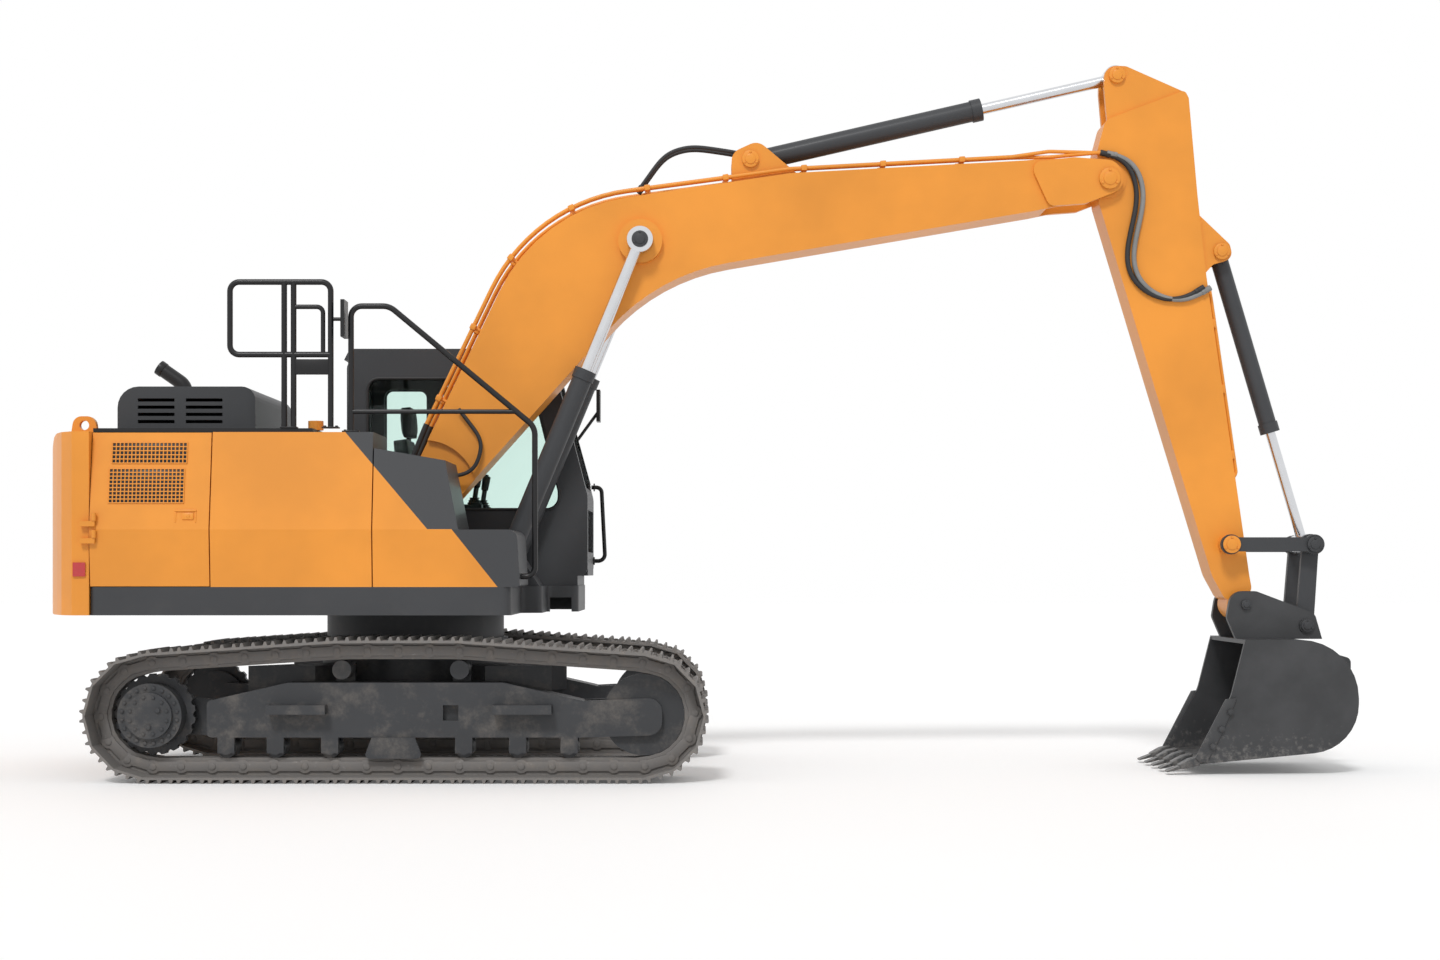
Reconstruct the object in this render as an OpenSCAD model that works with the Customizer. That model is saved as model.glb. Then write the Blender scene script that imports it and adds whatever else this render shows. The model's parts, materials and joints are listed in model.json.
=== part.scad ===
// Crawler excavator of the 16 tonne class, parked with its bucket just over the ground.
// X points forward along the boom, Y to the cab's side, Z up. The origin is on the ground
// under the centre of the swing bearing.

/* [Undercarriage] */
// Distance from sprocket centre to idler centre
wheelbase = 3190; // [3000:10:3400]
// Distance between the centre lines of the tracks
gauge = 1990; // [1900:10:2100]
// Width of a track shoe
shoe_w = 600; // [500:10:600]
// Radius of the track round sprocket and idler, out to the grouser tips
track_r = 430; // [420:1:440]
// Number of shoes in each track
shoe_count = 44; // [40:1:46]
// Height of the top run's grouser tips over the carrier rollers
top_run_z = 942; // [930:1:950]

/* [House] */
// Width of the house over its side panels
house_w = 2490; // [2450:10:2500]
// Radius swung by the tail
tail_r = 2440; // [2400:10:2480]
// Height of the skirt's lower edge above the ground
skirt_z = 1079; // [1070:1:1090]
// Height of the deck, at the top of the skirt
deck_z = 1262; // [1250:1:1275]
// Height of the side panels' upper edge
panel_top = 2265; // [2240:1:2290]
// Height of the cab roof
cab_top = 2940; // [2900:10:2980]
// Thickness of doors and walls
wall = 50; // [40:1:60]
// Diameter of the rail tubes
rail_d = 38; // [32:1:42]

/* [Boom and arm] */
// How far the boom's centre plane lies to the right of the swing centre
boom_off = 100; // [90:1:110]
// Boom length from foot pin to arm pin
boom_len = 5151; // [5100:1:5200]
// Slope of the line from foot pin to arm pin
boom_slope = 24.6; // [24.5:0.1:25.5]
// Width of the boom's box section
boom_w = 380; // [360:2:390]
// Arm length from arm pin to bucket pin
arm_len = 3051; // [3020:1:3060]
// Slope of the arm below the horizontal
arm_drop = 72.4; // [72:0.1:73]
// Width of the arm's box section
arm_w = 300; // [280:2:310]
// Width of the bucket over its side plates
bucket_w = 1080; // [1000:10:1150]
// Gap between a pivot's side faces
side_gap = 8; // [6:1:10]
// Running clearance on the radius of pins and rods
run = 0.4; // [0.3:0.1:0.6]

/* [Hidden] */
$fn = 48;

orange = [0.91, 0.60, 0.27];
grey = [0.29, 0.30, 0.31];
black = [0.09, 0.09, 0.09];
steel = [0.58, 0.58, 0.60];
track_colour = [0.46, 0.44, 0.42];
glass_colour = [0.66, 0.79, 0.75, 0.5];

// Undercarriage
sprocket = [-wheelbase / 2 + 15, track_r];
idler = [wheelbase / 2 + 15, track_r];
grouser_h = 24;
plate_t = 16;
chain_h = 110;
chain_w = 170;
chain_r = track_r - grouser_h - plate_t;
carrier_x = [-353, 413];
roller_x = [-1098, -778, -425, -10, 444, 794, 1128];
roller_r = 62;
carrier_r = 62;
carrier_pin_r = 26;
carrier_z = top_run_z - grouser_h - plate_t - chain_h - carrier_r - 8;
beam_w = 250;
beam_lo = 285;
beam_hi = 520;

// House
half_w = house_w / 2;
boom_y = -boom_off;
crease_z = 1632;
tuck_low = 30;
tuck_top = 100;
weight_l = 481;
weight_front = weight_l - tail_r;
rear_seam = -1181;
front_seam = -135;
seam = 4;
box_front = 817;
box_top = crease_z;
bay_wall = 26;
tank_in = -485;
deck_t = 26;
hood_lo = [weight_front + 54, -700];
hood_hi = [rear_seam + 194, 700];
hood_z = panel_top + deck_t;
hood_top = 2595;
hood_hinge = [hood_hi.x + 15, hood_z + 14];
hood_hinge_y = 300;
bulkhead_x = -560;
cab_y0 = 285;
cab_y1 = half_w;
cab_rear = -525;
cab_front = 1180;
cab_sill = deck_z + 70;
cab_wall = 55;
door_rear = 60;
door_front = 1020;
cab_hinge = [door_rear + 12, cab_y1 + 16];
cab_hinge_z = [1560, 2480];

// Pins, as points in the boom's plane at rest
foot = [90, 1900];
boom_cyl_base = [650, 1400];
tip = foot + boom_len * [cos(boom_slope), sin(boom_slope)];
bucket_pin = tip + arm_len * [cos(-arm_drop), sin(-arm_drop)];
// Along the boom's line and square to it
boom_rod_local = [2060, 945];
arm_base_local = [2985, 1155];
boom_rod = foot + turn(boom_rod_local, boom_slope);
arm_base = foot + turn(arm_base_local, boom_slope);
// Along the arm's line and square to it
arm_rod_local = [-671, 281];
bucket_base_local = [700, 600];
guide_back = 424;
guide_local = [arm_len - guide_back, 20];
arm_rod = tip + turn(arm_rod_local, -arm_drop);
bucket_base = tip + turn(bucket_base_local, -arm_drop);
guide_pin = tip + turn(guide_local, -arm_drop);
link_pin = guide_pin + [565, 0];
bucket_rod_pin = bucket_pin + [415, -143];

// Cylinders: barrel length, barrel radius, rod radius
boom_barrel = [1440, 68, 41];
arm_barrel = [1640, 70, 37];
bucket_barrel = [1290, 60, 34];
foot_half = 150;
bracket_half = foot_half + side_gap + 50;
tip_half = 160;
ear_half = tip_half + side_gap + 50;
lug_half = 80;
lug_out = lug_half + side_gap + 42;
cyl_y = 292;
cyl_half = 45;
nose_half = cyl_y - boom_barrel[1] - 8 - side_gap;
link_in = arm_w / 2 + side_gap;
link_out = link_in + 42;
bucket_ear_in = link_out + side_gap;
bucket_ear_out = bucket_ear_in + 45;
guide_in = bucket_ear_out + side_gap;
guide_out = guide_in + 40;
foot_pin_r = 48;
tip_pin_r = 42;
cyl_pin_r = 38;
link_pin_r = 34;

boom_cyl_len = norm(boom_rod - boom_cyl_base);
arm_cyl_len = norm(arm_rod - arm_base);
bucket_cyl_len = norm(link_pin - bucket_base);

function turn(p, a) = [p.x * cos(a) - p.y * sin(a), p.x * sin(a) + p.y * cos(a)];
function unit(v) = v / norm(v);
function slope(a, b) = atan2(b.y - a.y, b.x - a.x);
// One corner of an outline, as an arc of radius r
function corner(a, b, c, r, n) = r <= 0 ? [b] :
    let (u = unit(a - b), w = unit(c - b), half = acos(u * w) / 2)
    let (o = b + unit(u + w) * r / sin(half), s = b + u * r / tan(half) - o,
        e = b + w * r / tan(half) - o)
    let (a0 = atan2(s.y, s.x), d = (atan2(e.y, e.x) - a0 + 540) % 360 - 180)
    [for (i = [0 : n]) o + r * [cos(a0 + d * i / n), sin(a0 + d * i / n)]];
// An outline from corners given as [x, y, radius]
function rounded(p, n = 6) = [for (i = [0 : len(p) - 1])
    let (a = p[(i + len(p) - 1) % len(p)], b = p[i], c = p[(i + 1) % len(p)])
    each corner([a.x, a.y], [b.x, b.y], [c.x, c.y], b[2], n)];

// A plate cut to an outline in X and Z, from one Y to another
module plate(p, y0, y1) {
    translate([0, y1, 0]) rotate([90, 0, 0]) linear_extrude(y1 - y0) polygon(p);
}

// Two plates at the same distance on either side of Y zero
module plate_pair(p, inner, outer) {
    plate(p, inner, outer);
    plate(p, -outer, -inner);
}

// A round bar across the machine
module bar(p, r, y0, y1) {
    translate([p.x, y1, p.y]) rotate([90, 0, 0]) cylinder(r = r, h = y1 - y0);
}

module bar_pair(p, r, inner, outer) {
    bar(p, r, inner, outer);
    bar(p, r, -outer, -inner);
}

module box(lo, hi) {
    translate(lo) cube(hi - lo);
}

// A round bar between two points
module rod(a, b, r) {
    d = b - a;
    translate(a) rotate([0, acos(d.z / norm(d)), atan2(d.y, d.x)]) cylinder(r = r, h = norm(d));
}

// A rail through a list of points, with a ball at each bend
module rail(p, r = rail_d / 2) {
    for (i = [0 : len(p) - 2]) rod(p[i], p[i + 1], r);
    for (i = [1 : 1 : len(p) - 2]) translate(p[i]) sphere(r = r + 1);
}

module on_boom() {
    translate([foot.x, boom_y, foot.y]) rotate([0, -boom_slope, 0]) children();
}

module on_arm() {
    translate([tip.x, boom_y, tip.y]) rotate([0, arm_drop, 0]) children();
}

module on_bucket() {
    translate([bucket_pin.x, boom_y, bucket_pin.y]) children();
}

// Stands a cylinder's own X axis on the line from its base pin to its rod pin
module on_cylinder(base, rod_pin) {
    translate([base.x, boom_y, base.y]) rotate([0, -slope(base, rod_pin), 0]) children();
}

module along_x(x0, x1, r) {
    translate([x0, 0, 0]) rotate([0, 90, 0]) cylinder(r = r, h = x1 - x0);
}

module both_sides() {
    children();
    mirror([0, 1, 0]) children();
}

// Tracks

// The inner line of the shoes, anticlockwise seen from the right
belt = concat(
    [for (a = [268 : -8 : 92]) sprocket + chain_r * [cos(a), sin(a)]],
    [for (x = carrier_x) [x, top_run_z - grouser_h - plate_t]],
    [for (a = [88 : -8 : -88]) idler + chain_r * [cos(a), sin(a)]]);
belt_n = len(belt);
belt_at = [for (i = 0, s = 0; i <= belt_n; s = s + norm(belt[(i + 1) % belt_n] - belt[i % belt_n]),
    i = i + 1) s];
function belt_point(s) = let (i = max([for (k = [0 : belt_n - 1]) if (belt_at[k] <= s) k]))
    belt[i] + (belt[(i + 1) % belt_n] - belt[i]) * (s - belt_at[i]) / (belt_at[i + 1] - belt_at[i]);
shoe_pitch = belt_at[belt_n] / shoe_count;
// Radius that clears the chain's straight links round sprocket and idler
wheel_gap = 1.6;
wheel_r = sqrt(pow(chain_r, 2) - pow(shoe_pitch / 2, 2)) - chain_h - wheel_gap;
shoe_pins = [for (i = [0 : shoe_count - 1]) belt_point(i * belt_at[belt_n] / shoe_count)];
// Three grousers across a shoe: share of its length, then height over its inner face
shoe_form = [[0.05, plate_t], [0.09, plate_t + grouser_h], [0.15, plate_t + grouser_h], [0.19, plate_t],
    [0.42, plate_t], [0.46, plate_t + grouser_h], [0.52, plate_t + grouser_h], [0.56, plate_t],
    [0.80, plate_t], [0.84, plate_t + grouser_h], [0.90, plate_t + grouser_h], [0.94, plate_t]];
function track_ring(form) = [for (i = [0 : shoe_count - 1])
    let (a = shoe_pins[i], b = shoe_pins[(i + 1) % shoe_count], out = turn(unit(b - a), 90))
    for (f = form) a + (b - a) * f[0] + out * f[1]];

module track() {
    color(track_colour) {
        plate_ring(track_ring(shoe_form), track_ring([[0, 0]]), shoe_w);
        plate_ring(track_ring([[0, 2]]), track_ring([[0.3, -chain_h], [0.7, -chain_h]]), chain_w);
    }
}

module plate_ring(outer, inner, w) {
    translate([0, w / 2, 0]) rotate([90, 0, 0]) linear_extrude(w) difference() {
        polygon(outer);
        polygon(inner);
    }
}

module track_right() {
    translate([0, -gauge / 2, 0]) track();
}

module track_left() {
    translate([0, gauge / 2, 0]) track();
}

// Side frame of one track, for the right side
module track_frame() {
    y0 = -beam_w / 2;
    y1 = beam_w / 2;
    color(grey) difference() {
        union() {
            plate(rounded([[-1222, beam_lo, 30], [1232, beam_lo, 30], [1232, beam_hi, 30],
                [700, 640, 80],
                [-700, 640, 80], [-1222, beam_hi, 30]]), y0, y1);
            // Final drive bracket behind the sprocket
            plate(rounded([[-1590, 300, 120], [-1200, beam_lo, 0], [-1200, beam_hi, 0],
                [-1590, 560, 120]]), y1 - 60, y1);
            // Idler yoke, open towards the idler
            plate(rounded([[1200, beam_lo, 0], [1732, 300, 90], [1732, 545, 90], [1200, beam_hi, 0]]),
                y0, y0 + 50);
            plate(rounded([[1200, beam_lo, 0], [1732, 300, 90], [1732, 545, 90], [1200, beam_hi, 0]]),
                y1 - 50, y1);
            // Steps
            for (x = [-820, 640]) box([x, y0 - 110, 440], [x + 380, y0 + 1, 500]);
            // Centre guide guard
            plate(rounded([[-200, 150, 25], [180, 150, 25], [130, beam_lo + 1, 0],
                [-150, beam_lo + 1, 0]]), y0 - 30, y0);
            for (x = carrier_x) box([x - 60, y1 - 40, 600], [x + 60, y1, carrier_z + 45]);
        }
        translate([310, y0 - 1, 395]) cube([100, 60, 100]);
        for (x = carrier_x) bar([x, carrier_z], carrier_pin_r + 0.3, y1 - 41, y1 + 1);
    }
}

module track_frame_right() {
    translate([0, -gauge / 2, 0]) track_frame();
}

module track_frame_left() {
    mirror([0, 1, 0]) track_frame_right();
}

module sprockets() {
    teeth = 21;
    color(grey) both_sides() translate([0, -gauge / 2, 0]) {
        difference() {
            bar(sprocket, wheel_r, -30, 30);
            for (i = [0 : teeth - 1]) bar(sprocket + (wheel_r + 8) * [cos(360 * i / teeth),
                sin(360 * i / teeth)],
                24, -31, 31);
        }
        bar(sprocket, 208, -beam_w / 2 - 60, -30);
        bar(sprocket, 150, -beam_w / 2 - 90, -beam_w / 2 - 60);
        bar(sprocket, 200, 30, beam_w / 2 - 60);
    }
}

module idlers() {
    color(grey) both_sides() translate([0, -gauge / 2, 0]) {
        bar(idler, wheel_r, -chain_w / 2 + 10, -20);
        bar(idler, wheel_r - 30, -20, 20);
        bar(idler, wheel_r, 20, chain_w / 2 - 10);
        bar(idler, 60, -beam_w / 2 + 50, beam_w / 2 - 50);
    }
}

module track_rollers() {
    color(grey) both_sides() translate([0, -gauge / 2, 0]) for (x = roller_x) {
        z = track_r - chain_r + chain_h + roller_r + 0.5;
        bar([x, z], roller_r, -chain_w / 2, chain_w / 2);
        bar([x, z], 40, -beam_w / 2, beam_w / 2);
        for (s = [-1, 1]) {
            y = s * (beam_w / 2 - 18);
            box([x - 55, y - 18, z - 30], [x + 55, y + 18, beam_lo]);
        }
    }
}

module carrier_rollers() {
    color(grey) both_sides() translate([0, -gauge / 2, 0]) for (x = carrier_x) {
        bar([x, carrier_z], carrier_r, -chain_w / 2, chain_w / 2 - 5);
        bar([x, carrier_z], carrier_pin_r, chain_w / 2 - 5, beam_w / 2);
    }
}

// Centre body with its four legs to the side frames and a towing eye at each end
tow_r = 30;
tow_x = 760;
tow_z = 560;
module car_body() {
    reach = gauge / 2 - beam_w / 2;
    color(grey) difference() {
        union() {
            translate([0, 0, 500]) cylinder(r = 640, h = 410);
            for (s = [-1, 1], t = [-1, 1]) linear_leg(s, t, reach);
            for (s = [-1, 1]) box([s * 690 - 110, -40, 500], [s * 690 + 110, 40, 630]);
            box([-600, -560, 455], [600, 560, 501]);
        }
        for (s = [-1, 1]) bar([s * tow_x, tow_z], tow_r, -41, 41);
    }
}

// One leg from the centre body to a side frame
module linear_leg(s, t, reach) {
    lo = 420;
    translate([0, 0, lo + 80]) linear_extrude(240) polygon(t * s > 0 ?
        [[s * 150, t * 300], [s * 560, t * 300], [s * 1000, t * reach], [s * 560, t * reach]] :
        [[s * 560, t * reach], [s * 1000, t * reach], [s * 560, t * 300], [s * 150, t * 300]]);
}

module swing_bearing() {
    color(grey) translate([0, 0, 910]) difference() {
        cylinder(r = 610, h = skirt_z - 910 + 100);
        translate([0, 0, -1]) cylinder(r = 480, h = 400);
    }
}

// House

// Cross-section of the right side of the house, closed at y
function side_section(y, z0, z1) = [for (p = [[y, z0], [-half_w + tuck_low, z0],
    if (z1 > crease_z) [-half_w, crease_z], if (z1 > crease_z) [-half_w + tuck_top, z1],
    if (z1 <= crease_z) [-half_w, z1], [y, z1]]) p];

module along_house(section, x0, x1) {
    translate([x0, 0, 0]) rotate([90, 0, 90]) linear_extrude(x1 - x0) polygon(section);
}

module main_frame() {
    side = half_w - tuck_low;
    plan = rounded([[weight_front, -side, 40], [box_front - 60, -side, 60], [box_front - 60, -360, 40],
        [900, -340, 40], [900, 180, 40], [cab_front - 60, 200, 40], [cab_front - 60, side, 60],
        [weight_front, side, 40]]);
    foot_plate = rounded([[-450, deck_z - 1, 0], [430, deck_z - 1, 0], [350, 1500, 100],
        [foot.x + 135, foot.y + 10, 110],
        [foot.x - 150, foot.y + 60, 110]]);
    nose = rounded([[450, deck_z - 1, 0], [880, deck_z - 1, 0],
        [boom_cyl_base.x + 90, boom_cyl_base.y + 80, 70],
        [boom_cyl_base.x - 90, boom_cyl_base.y + 80, 70]]);
    color(grey) {
        difference() {
            translate([0, 0, skirt_z]) linear_extrude(deck_z - skirt_z) polygon(plan);
            translate([0, 0, skirt_z - 1]) linear_extrude(101) difference() {
                polygon([for (p = plan) [p.x * 0.975, p.y * 0.97]]);
                circle(r = 700);
            }
            translate([0, 0, skirt_z - 1]) cylinder(r = 610.2, h = 101);
        }
        translate([0, boom_y, 0]) {
            plate_pair(foot_plate, foot_half + side_gap, bracket_half);
            bar(foot, foot_pin_r, -bracket_half - 20, bracket_half + 20);
            plate(nose, -nose_half, nose_half);
            bar(boom_cyl_base, cyl_pin_r, -cyl_y - cyl_half - 15, cyl_y + cyl_half + 15);
        }
    }
}

// Lifting eyes on the counterweight's top
lift_r = 32;
lift_x = weight_front - 161;
lift_y = 700;
lift_z = panel_top + 70;
weight_profile = rounded([[weight_front + 100, skirt_z, 0], [weight_front + 100, panel_top, 0],
    [-tail_r + 130, panel_top, 120], [-tail_r, 1700, 500], [-tail_r + 20, skirt_z, 130]], 8);
module counterweight() {
    arc_half = asin((half_w - 110) / tail_r);
    side_x = min(-tail_r * cos(arc_half) + 90, weight_front - 60);
    outline = concat([[weight_front, half_w - 20], [side_x, half_w - 20]],
        [for (i = [-8 : 8]) -tail_r * [cos(arc_half * i / 8), -sin(-arc_half * i / 8)]],
        [[side_x, -half_w + 20], [weight_front, -half_w + 20]]);
    color(orange) difference() {
        union() {
            intersection() {
                translate([0, 0, skirt_z]) linear_extrude(panel_top - skirt_z) polygon(outline);
                plate(weight_profile, -half_w, half_w);
            }
            both_sides() for (z = bay_hinge_z)
                hinge_lug(bay_hinge, z, weight_front - 50, weight_front - 4, -half_w + 21);
            for (s = [-1, 1]) plate(rounded([[lift_x - 90, panel_top - 1, 0],
                [lift_x + 90, panel_top - 1, 0],
                [lift_x + 70, lift_z + 60, 60], [lift_x - 70, lift_z + 60, 60]]), s * lift_y - 25,
                    s * lift_y + 25);
        }
        for (s = [-1, 1]) bar([lift_x, lift_z], lift_r, s * lift_y - 26, s * lift_y + 26);
    }
}

module engine_block() {
    color(grey) box([-1780, -620, deck_z], [-1300, 620, 2120]);
}

// Walls that close the engine bay and the space behind the boom
module bulkheads() {
    color(grey) {
        box([rear_seam + seam, tank_in, deck_z], [rear_seam + seam + bay_wall, 300, panel_top]);
        box([bulkhead_x, tank_in + 2, deck_z], [bulkhead_x + bay_wall, cab_y0 - 20, panel_top]);
    }
}

module top_deck() {
    edge = half_w - tuck_top - 20;
    color(black) for (s = [-1, 1]) {
        y = s * hood_hinge_y;
        box([hood_hinge.x - 8, y - 60, hood_z - 1], [hood_hinge.x + 8, y - 44, hood_hinge.y + 8]);
        bar(hood_hinge, 6, y - 60, y + 40);
    }
    color(black) difference() {
        box([weight_front + 2, -edge, panel_top], [bulkhead_x + bay_wall, edge, panel_top + deck_t]);
        box([hood_lo.x + 60, hood_lo.y + 60, panel_top - 1],
            [hood_hi.x - 60, hood_hi.y - 60, panel_top + deck_t + 1]);
    }
}

module right_side_tank() {
    color(orange) {
        along_house(side_section(tank_in, deck_z, panel_top), rear_seam + seam, front_seam - seam);
        translate([-550, -900, panel_top + deck_t]) cylinder(r = 50, h = 60);
    }
}

// Box ahead of the tank, stepped for climbing up
module right_front_box() {
    upper = [[front_seam + seam, box_top - 1], [420, box_top - 1], [330, 2080],
        [front_seam + seam, 2160]];
    lower = rounded([[front_seam + seam, deck_z, 0], [box_front, deck_z, 20],
        [box_front - 20, box_top, 60],
        [front_seam + seam, box_top, 0]]);
    color(orange) {
        intersection() {
            plate(lower, -half_w, tank_in);
            along_house(side_section(tank_in, deck_z, box_top), front_seam, box_front + 1);
        }
        intersection() {
            plate(upper, -half_w, tank_in);
            along_house(side_section(tank_in, deck_z, panel_top), front_seam, box_front);
        }
    }
}

module left_side_box() {
    color(orange) mirror([0, 1, 0])
        along_house(side_section(-300, deck_z, panel_top), rear_seam + seam, cab_rear - 12);
}

// Hinges of the doors: a lug with an upright pin on the frame's side, a knuckle on the door
hinge_pin_r = 8;
knuckle_r = 15;
lug_h = 34;
knuckle_h = 50;
bay_hinge = [weight_front + 40, -half_w - 14];
bay_hinge_z = [crease_z - 90, crease_z + 20];

// Pin and lug at a hinge line, the lug reaching back to x0 and in to y0
module hinge_lug(at, z, x0, x1, y0) {
    box([x0, at.y - 8, z], [at.x, at.y + 8, z + lug_h]);
    box([x0, min(at.y - 8, y0), z], [x1, max(at.y + 8, y0), z + lug_h]);
    translate([at.x, at.y, z]) cylinder(r = 8, h = lug_h);
    translate([at.x, at.y, z + lug_h - 1]) cylinder(r = hinge_pin_r, h = knuckle_h);
}

// Knuckle over the lug's pin, joined to the door at y1
module hinge_knuckle(at, z, y1) {
    translate([0, 0, z + lug_h + 2]) difference() {
        union() {
            translate([at.x, at.y, 0]) cylinder(r = knuckle_r, h = knuckle_h);
            box([at.x - 6, min(at.y, y1), 0], [at.x + 6, max(at.y, y1), knuckle_h]);
        }
        translate([at.x, at.y, -1]) cylinder(r = hinge_pin_r + run, h = knuckle_h + 2);
    }
}

door_seat = 1110;
module rear_door_right() {
    lo = weight_front + 6;
    hi = rear_seam - seam;
    outer = side_section(-door_seat, deck_z + 4, panel_top - 4);
    inner = [for (p = outer) [p.x + wall, p.y]];
    color(orange) difference() {
        union() {
            along_house([outer[1], outer[2], outer[3], inner[3], inner[2], inner[1]], lo, hi);
            for (z = bay_hinge_z) hinge_knuckle(bay_hinge, z, -half_w + 20);
        }
        // Two grilles, as rows of slots
        for (i = [0 : 3]) slot(weight_front + 144, rear_seam - 164, 2075 + i * 32, 16);
        for (i = [0 : 5]) slot(weight_front + 131, rear_seam - 177, 1815 + i * 36, 18);
    }
}

// A slot through the right side's panel
module slot(x0, x1, z, h) {
    translate([x0, -half_w - 10, z]) cube([x1 - x0, 180, h]);
}

module right_rear_door() {
    rear_door_right();
}

module left_rear_door() {
    mirror([0, 1, 0]) rear_door_right();
}

module engine_hood() {
    shell = rounded([[hood_lo.x, hood_z, 0], [hood_hi.x, hood_z, 0], [hood_hi.x, hood_top, 90],
        [hood_lo.x, hood_top, 140]]);
    inner = rounded([[hood_lo.x + 25, hood_z - 1, 0], [hood_hi.x - 25, hood_z - 1, 0],
        [hood_hi.x - 25, hood_top - 25, 66],
        [hood_lo.x + 25, hood_top - 25, 116]]);
    color(grey) difference() {
        union() {
            plate(shell, hood_lo.y, hood_hi.y);
            for (s = [-1, 1]) {
                bar(hood_hinge, 12, s * hood_hinge_y - 40, s * hood_hinge_y + 40);
                box([hood_hi.x - 1, s * hood_hinge_y - 40, hood_hinge.y - 6],
                    [hood_hinge.x, s * hood_hinge_y + 40, hood_hinge.y + 6]);
            }
        }
        for (s = [-1, 1]) bar(hood_hinge, 6 + run, s * hood_hinge_y - 41, s * hood_hinge_y + 41);
        plate(inner, hood_lo.y + 25, hood_hi.y - 25);
        for (x = [-1770, -1450], i = [0 : 3])
            box([x, hood_lo.y - 1, 2350 + i * 48], [x + 245, hood_lo.y + 26, 2372 + i * 48]);
    }
}

module exhaust_stack() {
    color(black) translate([weight_front + 169, half_w - 395, panel_top + deck_t]) {
        difference() {
            union() {
                cylinder(r = 52, h = 420);
                translate([0, 0, 410]) rotate([0, -35, 0]) cylinder(r = 52, h = 260);
            }
            translate([0, 0, 410]) rotate([0, -35, 0]) translate([0, 0, 60]) cylinder(r = 45, h = 300);
        }
        cylinder(r = 80, h = 20);
    }
}

rail_floor = panel_top + deck_t;
rail_y = -half_w + tuck_top + 40;
module rear_rails() {
    y = rail_y;
    color(black) {
        rail([[-420, y, rail_floor], [-420, y, 3241], [-1074, y, 3241], [-1074, y, 2770],
            [-421, y, 2770]]);
        rod([-661, y, rail_floor], [-661, y, 3241], rail_d / 2);
        box([-650, y - 12, 2640], [-430, y + 12, 2740]);
    }
}

module front_handrail() {
    y = rail_y - 45;
    color(black) {
        rail([[-118, y, 2161], [-118, y, 3000], [0, y, 3093], [870, y, 2330], [905, y, 2250],
            [905, y, 1330],
            [box_front - 2.7, y, 1330]]);
        rod([-118, y, 2400], [788, y, 2400], rail_d / 2 - 4);
    }
}

module cab_rail() {
    y = cab_y1 - 40;
    color(black) rail([[cab_front - 19, y, 1990], [cab_front + 55, y, 1990], [cab_front + 90, y, 1500],
        [cab_front + 60, y, 1440], [cab_front + 0.3, y, 1440]], 15);
}

module mirrors() {
    color(black) {
        rod([-420 + rail_d / 2, rail_y, 3000], [-330, rail_y, 3000], 12);
        box([-345, rail_y - 85, 2880], [-320, rail_y + 85, 3120]);
        rod([1010, cab_y1 + 12.3, 2280], [1215, cab_y1 + 12.3, 2560], 12);
        box([1205, cab_y1 - 120, 2480], [1232, cab_y1 + 40, 2716]);
    }
}

module tail_lamps() {
    color([0.75, 0.12, 0.14]) both_sides()
        box([weight_front - 101, -half_w + 6, 1330], [weight_front - 21, -half_w + 20, 1420]);
}

// Cab
cab_side = [[cab_rear, cab_sill, 30], [cab_front, cab_sill, 60], [cab_front, 1900, 200],
    [930, cab_top - 80, 60],
    [cab_rear, cab_top - 80, 60]];
door_line = [[door_rear, cab_sill + 40, 40], [door_front, cab_sill + 40, 60], [door_front, 1900, 150],
    [835, cab_top - 190, 60], [door_rear, cab_top - 190, 60]];
door_cut = [[door_rear - 8, cab_sill + 32, 46], [door_front + 8, cab_sill + 32, 66],
    [door_front + 8, 1902, 152],
    [841, cab_top - 182, 66], [door_rear - 8, cab_top - 182, 66]];
right_window = [[-380, 1800, 80], [980, 1800, 90], [980, 1930, 60], [780, cab_top - 210, 80],
    [-380, cab_top - 210, 80]];
quarter_window = [[-380, 1900, 60], [-60, 1900, 60], [-60, cab_top - 220, 60],
    [-380, cab_top - 220, 60]];
door_window = [[door_rear + 70, 1750, 60], [door_front - 70, 1750, 80], [door_front - 70, 1900, 100],
    [790, cab_top - 260, 60], [door_rear + 70, cab_top - 260, 60]];
rear_window = [cab_y0 + 120, cab_y1 - 120, 2180, cab_top - 240];
front_window = [cab_y0 + 105, cab_y1 - 105];
front_low = [1500, 1800];
front_high = [1960, 2760];
glass_t = 10;

module cab_floor() {
    color(grey) box([cab_rear, cab_y0, deck_z], [cab_front - 70, cab_y1 - 10, cab_sill]);
}

// Right wall, with its long window
module cab_right_wall() {
    color(grey) difference() {
        plate(rounded(cab_side), cab_y0, cab_y0 + cab_wall);
        plate(rounded(right_window), cab_y0 - 1, cab_y0 + cab_wall + 1);
    }
}

// Left wall, round the door and the rear quarter window
module cab_left_wall() {
    color(grey) for (z = cab_hinge_z)
        hinge_lug(cab_hinge, z, door_rear - 40, door_rear - 12, cab_y1 - 1);
    color(grey) difference() {
        plate(rounded(cab_side), cab_y1 - cab_wall, cab_y1);
        plate(rounded(door_cut), cab_y1 - cab_wall - 1, cab_y1 + 1);
        plate(rounded(quarter_window), cab_y1 - cab_wall - 1, cab_y1 + 1);
    }
}

module cab_rear_wall() {
    color(grey) difference() {
        box([cab_rear, cab_y0 + cab_wall, cab_sill],
            [cab_rear + cab_wall, cab_y1 - cab_wall, cab_top - 80]);
        box([cab_rear - 1, rear_window[0], rear_window[2]],
            [cab_rear + cab_wall + 1, rear_window[1], rear_window[3]]);
    }
}

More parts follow.
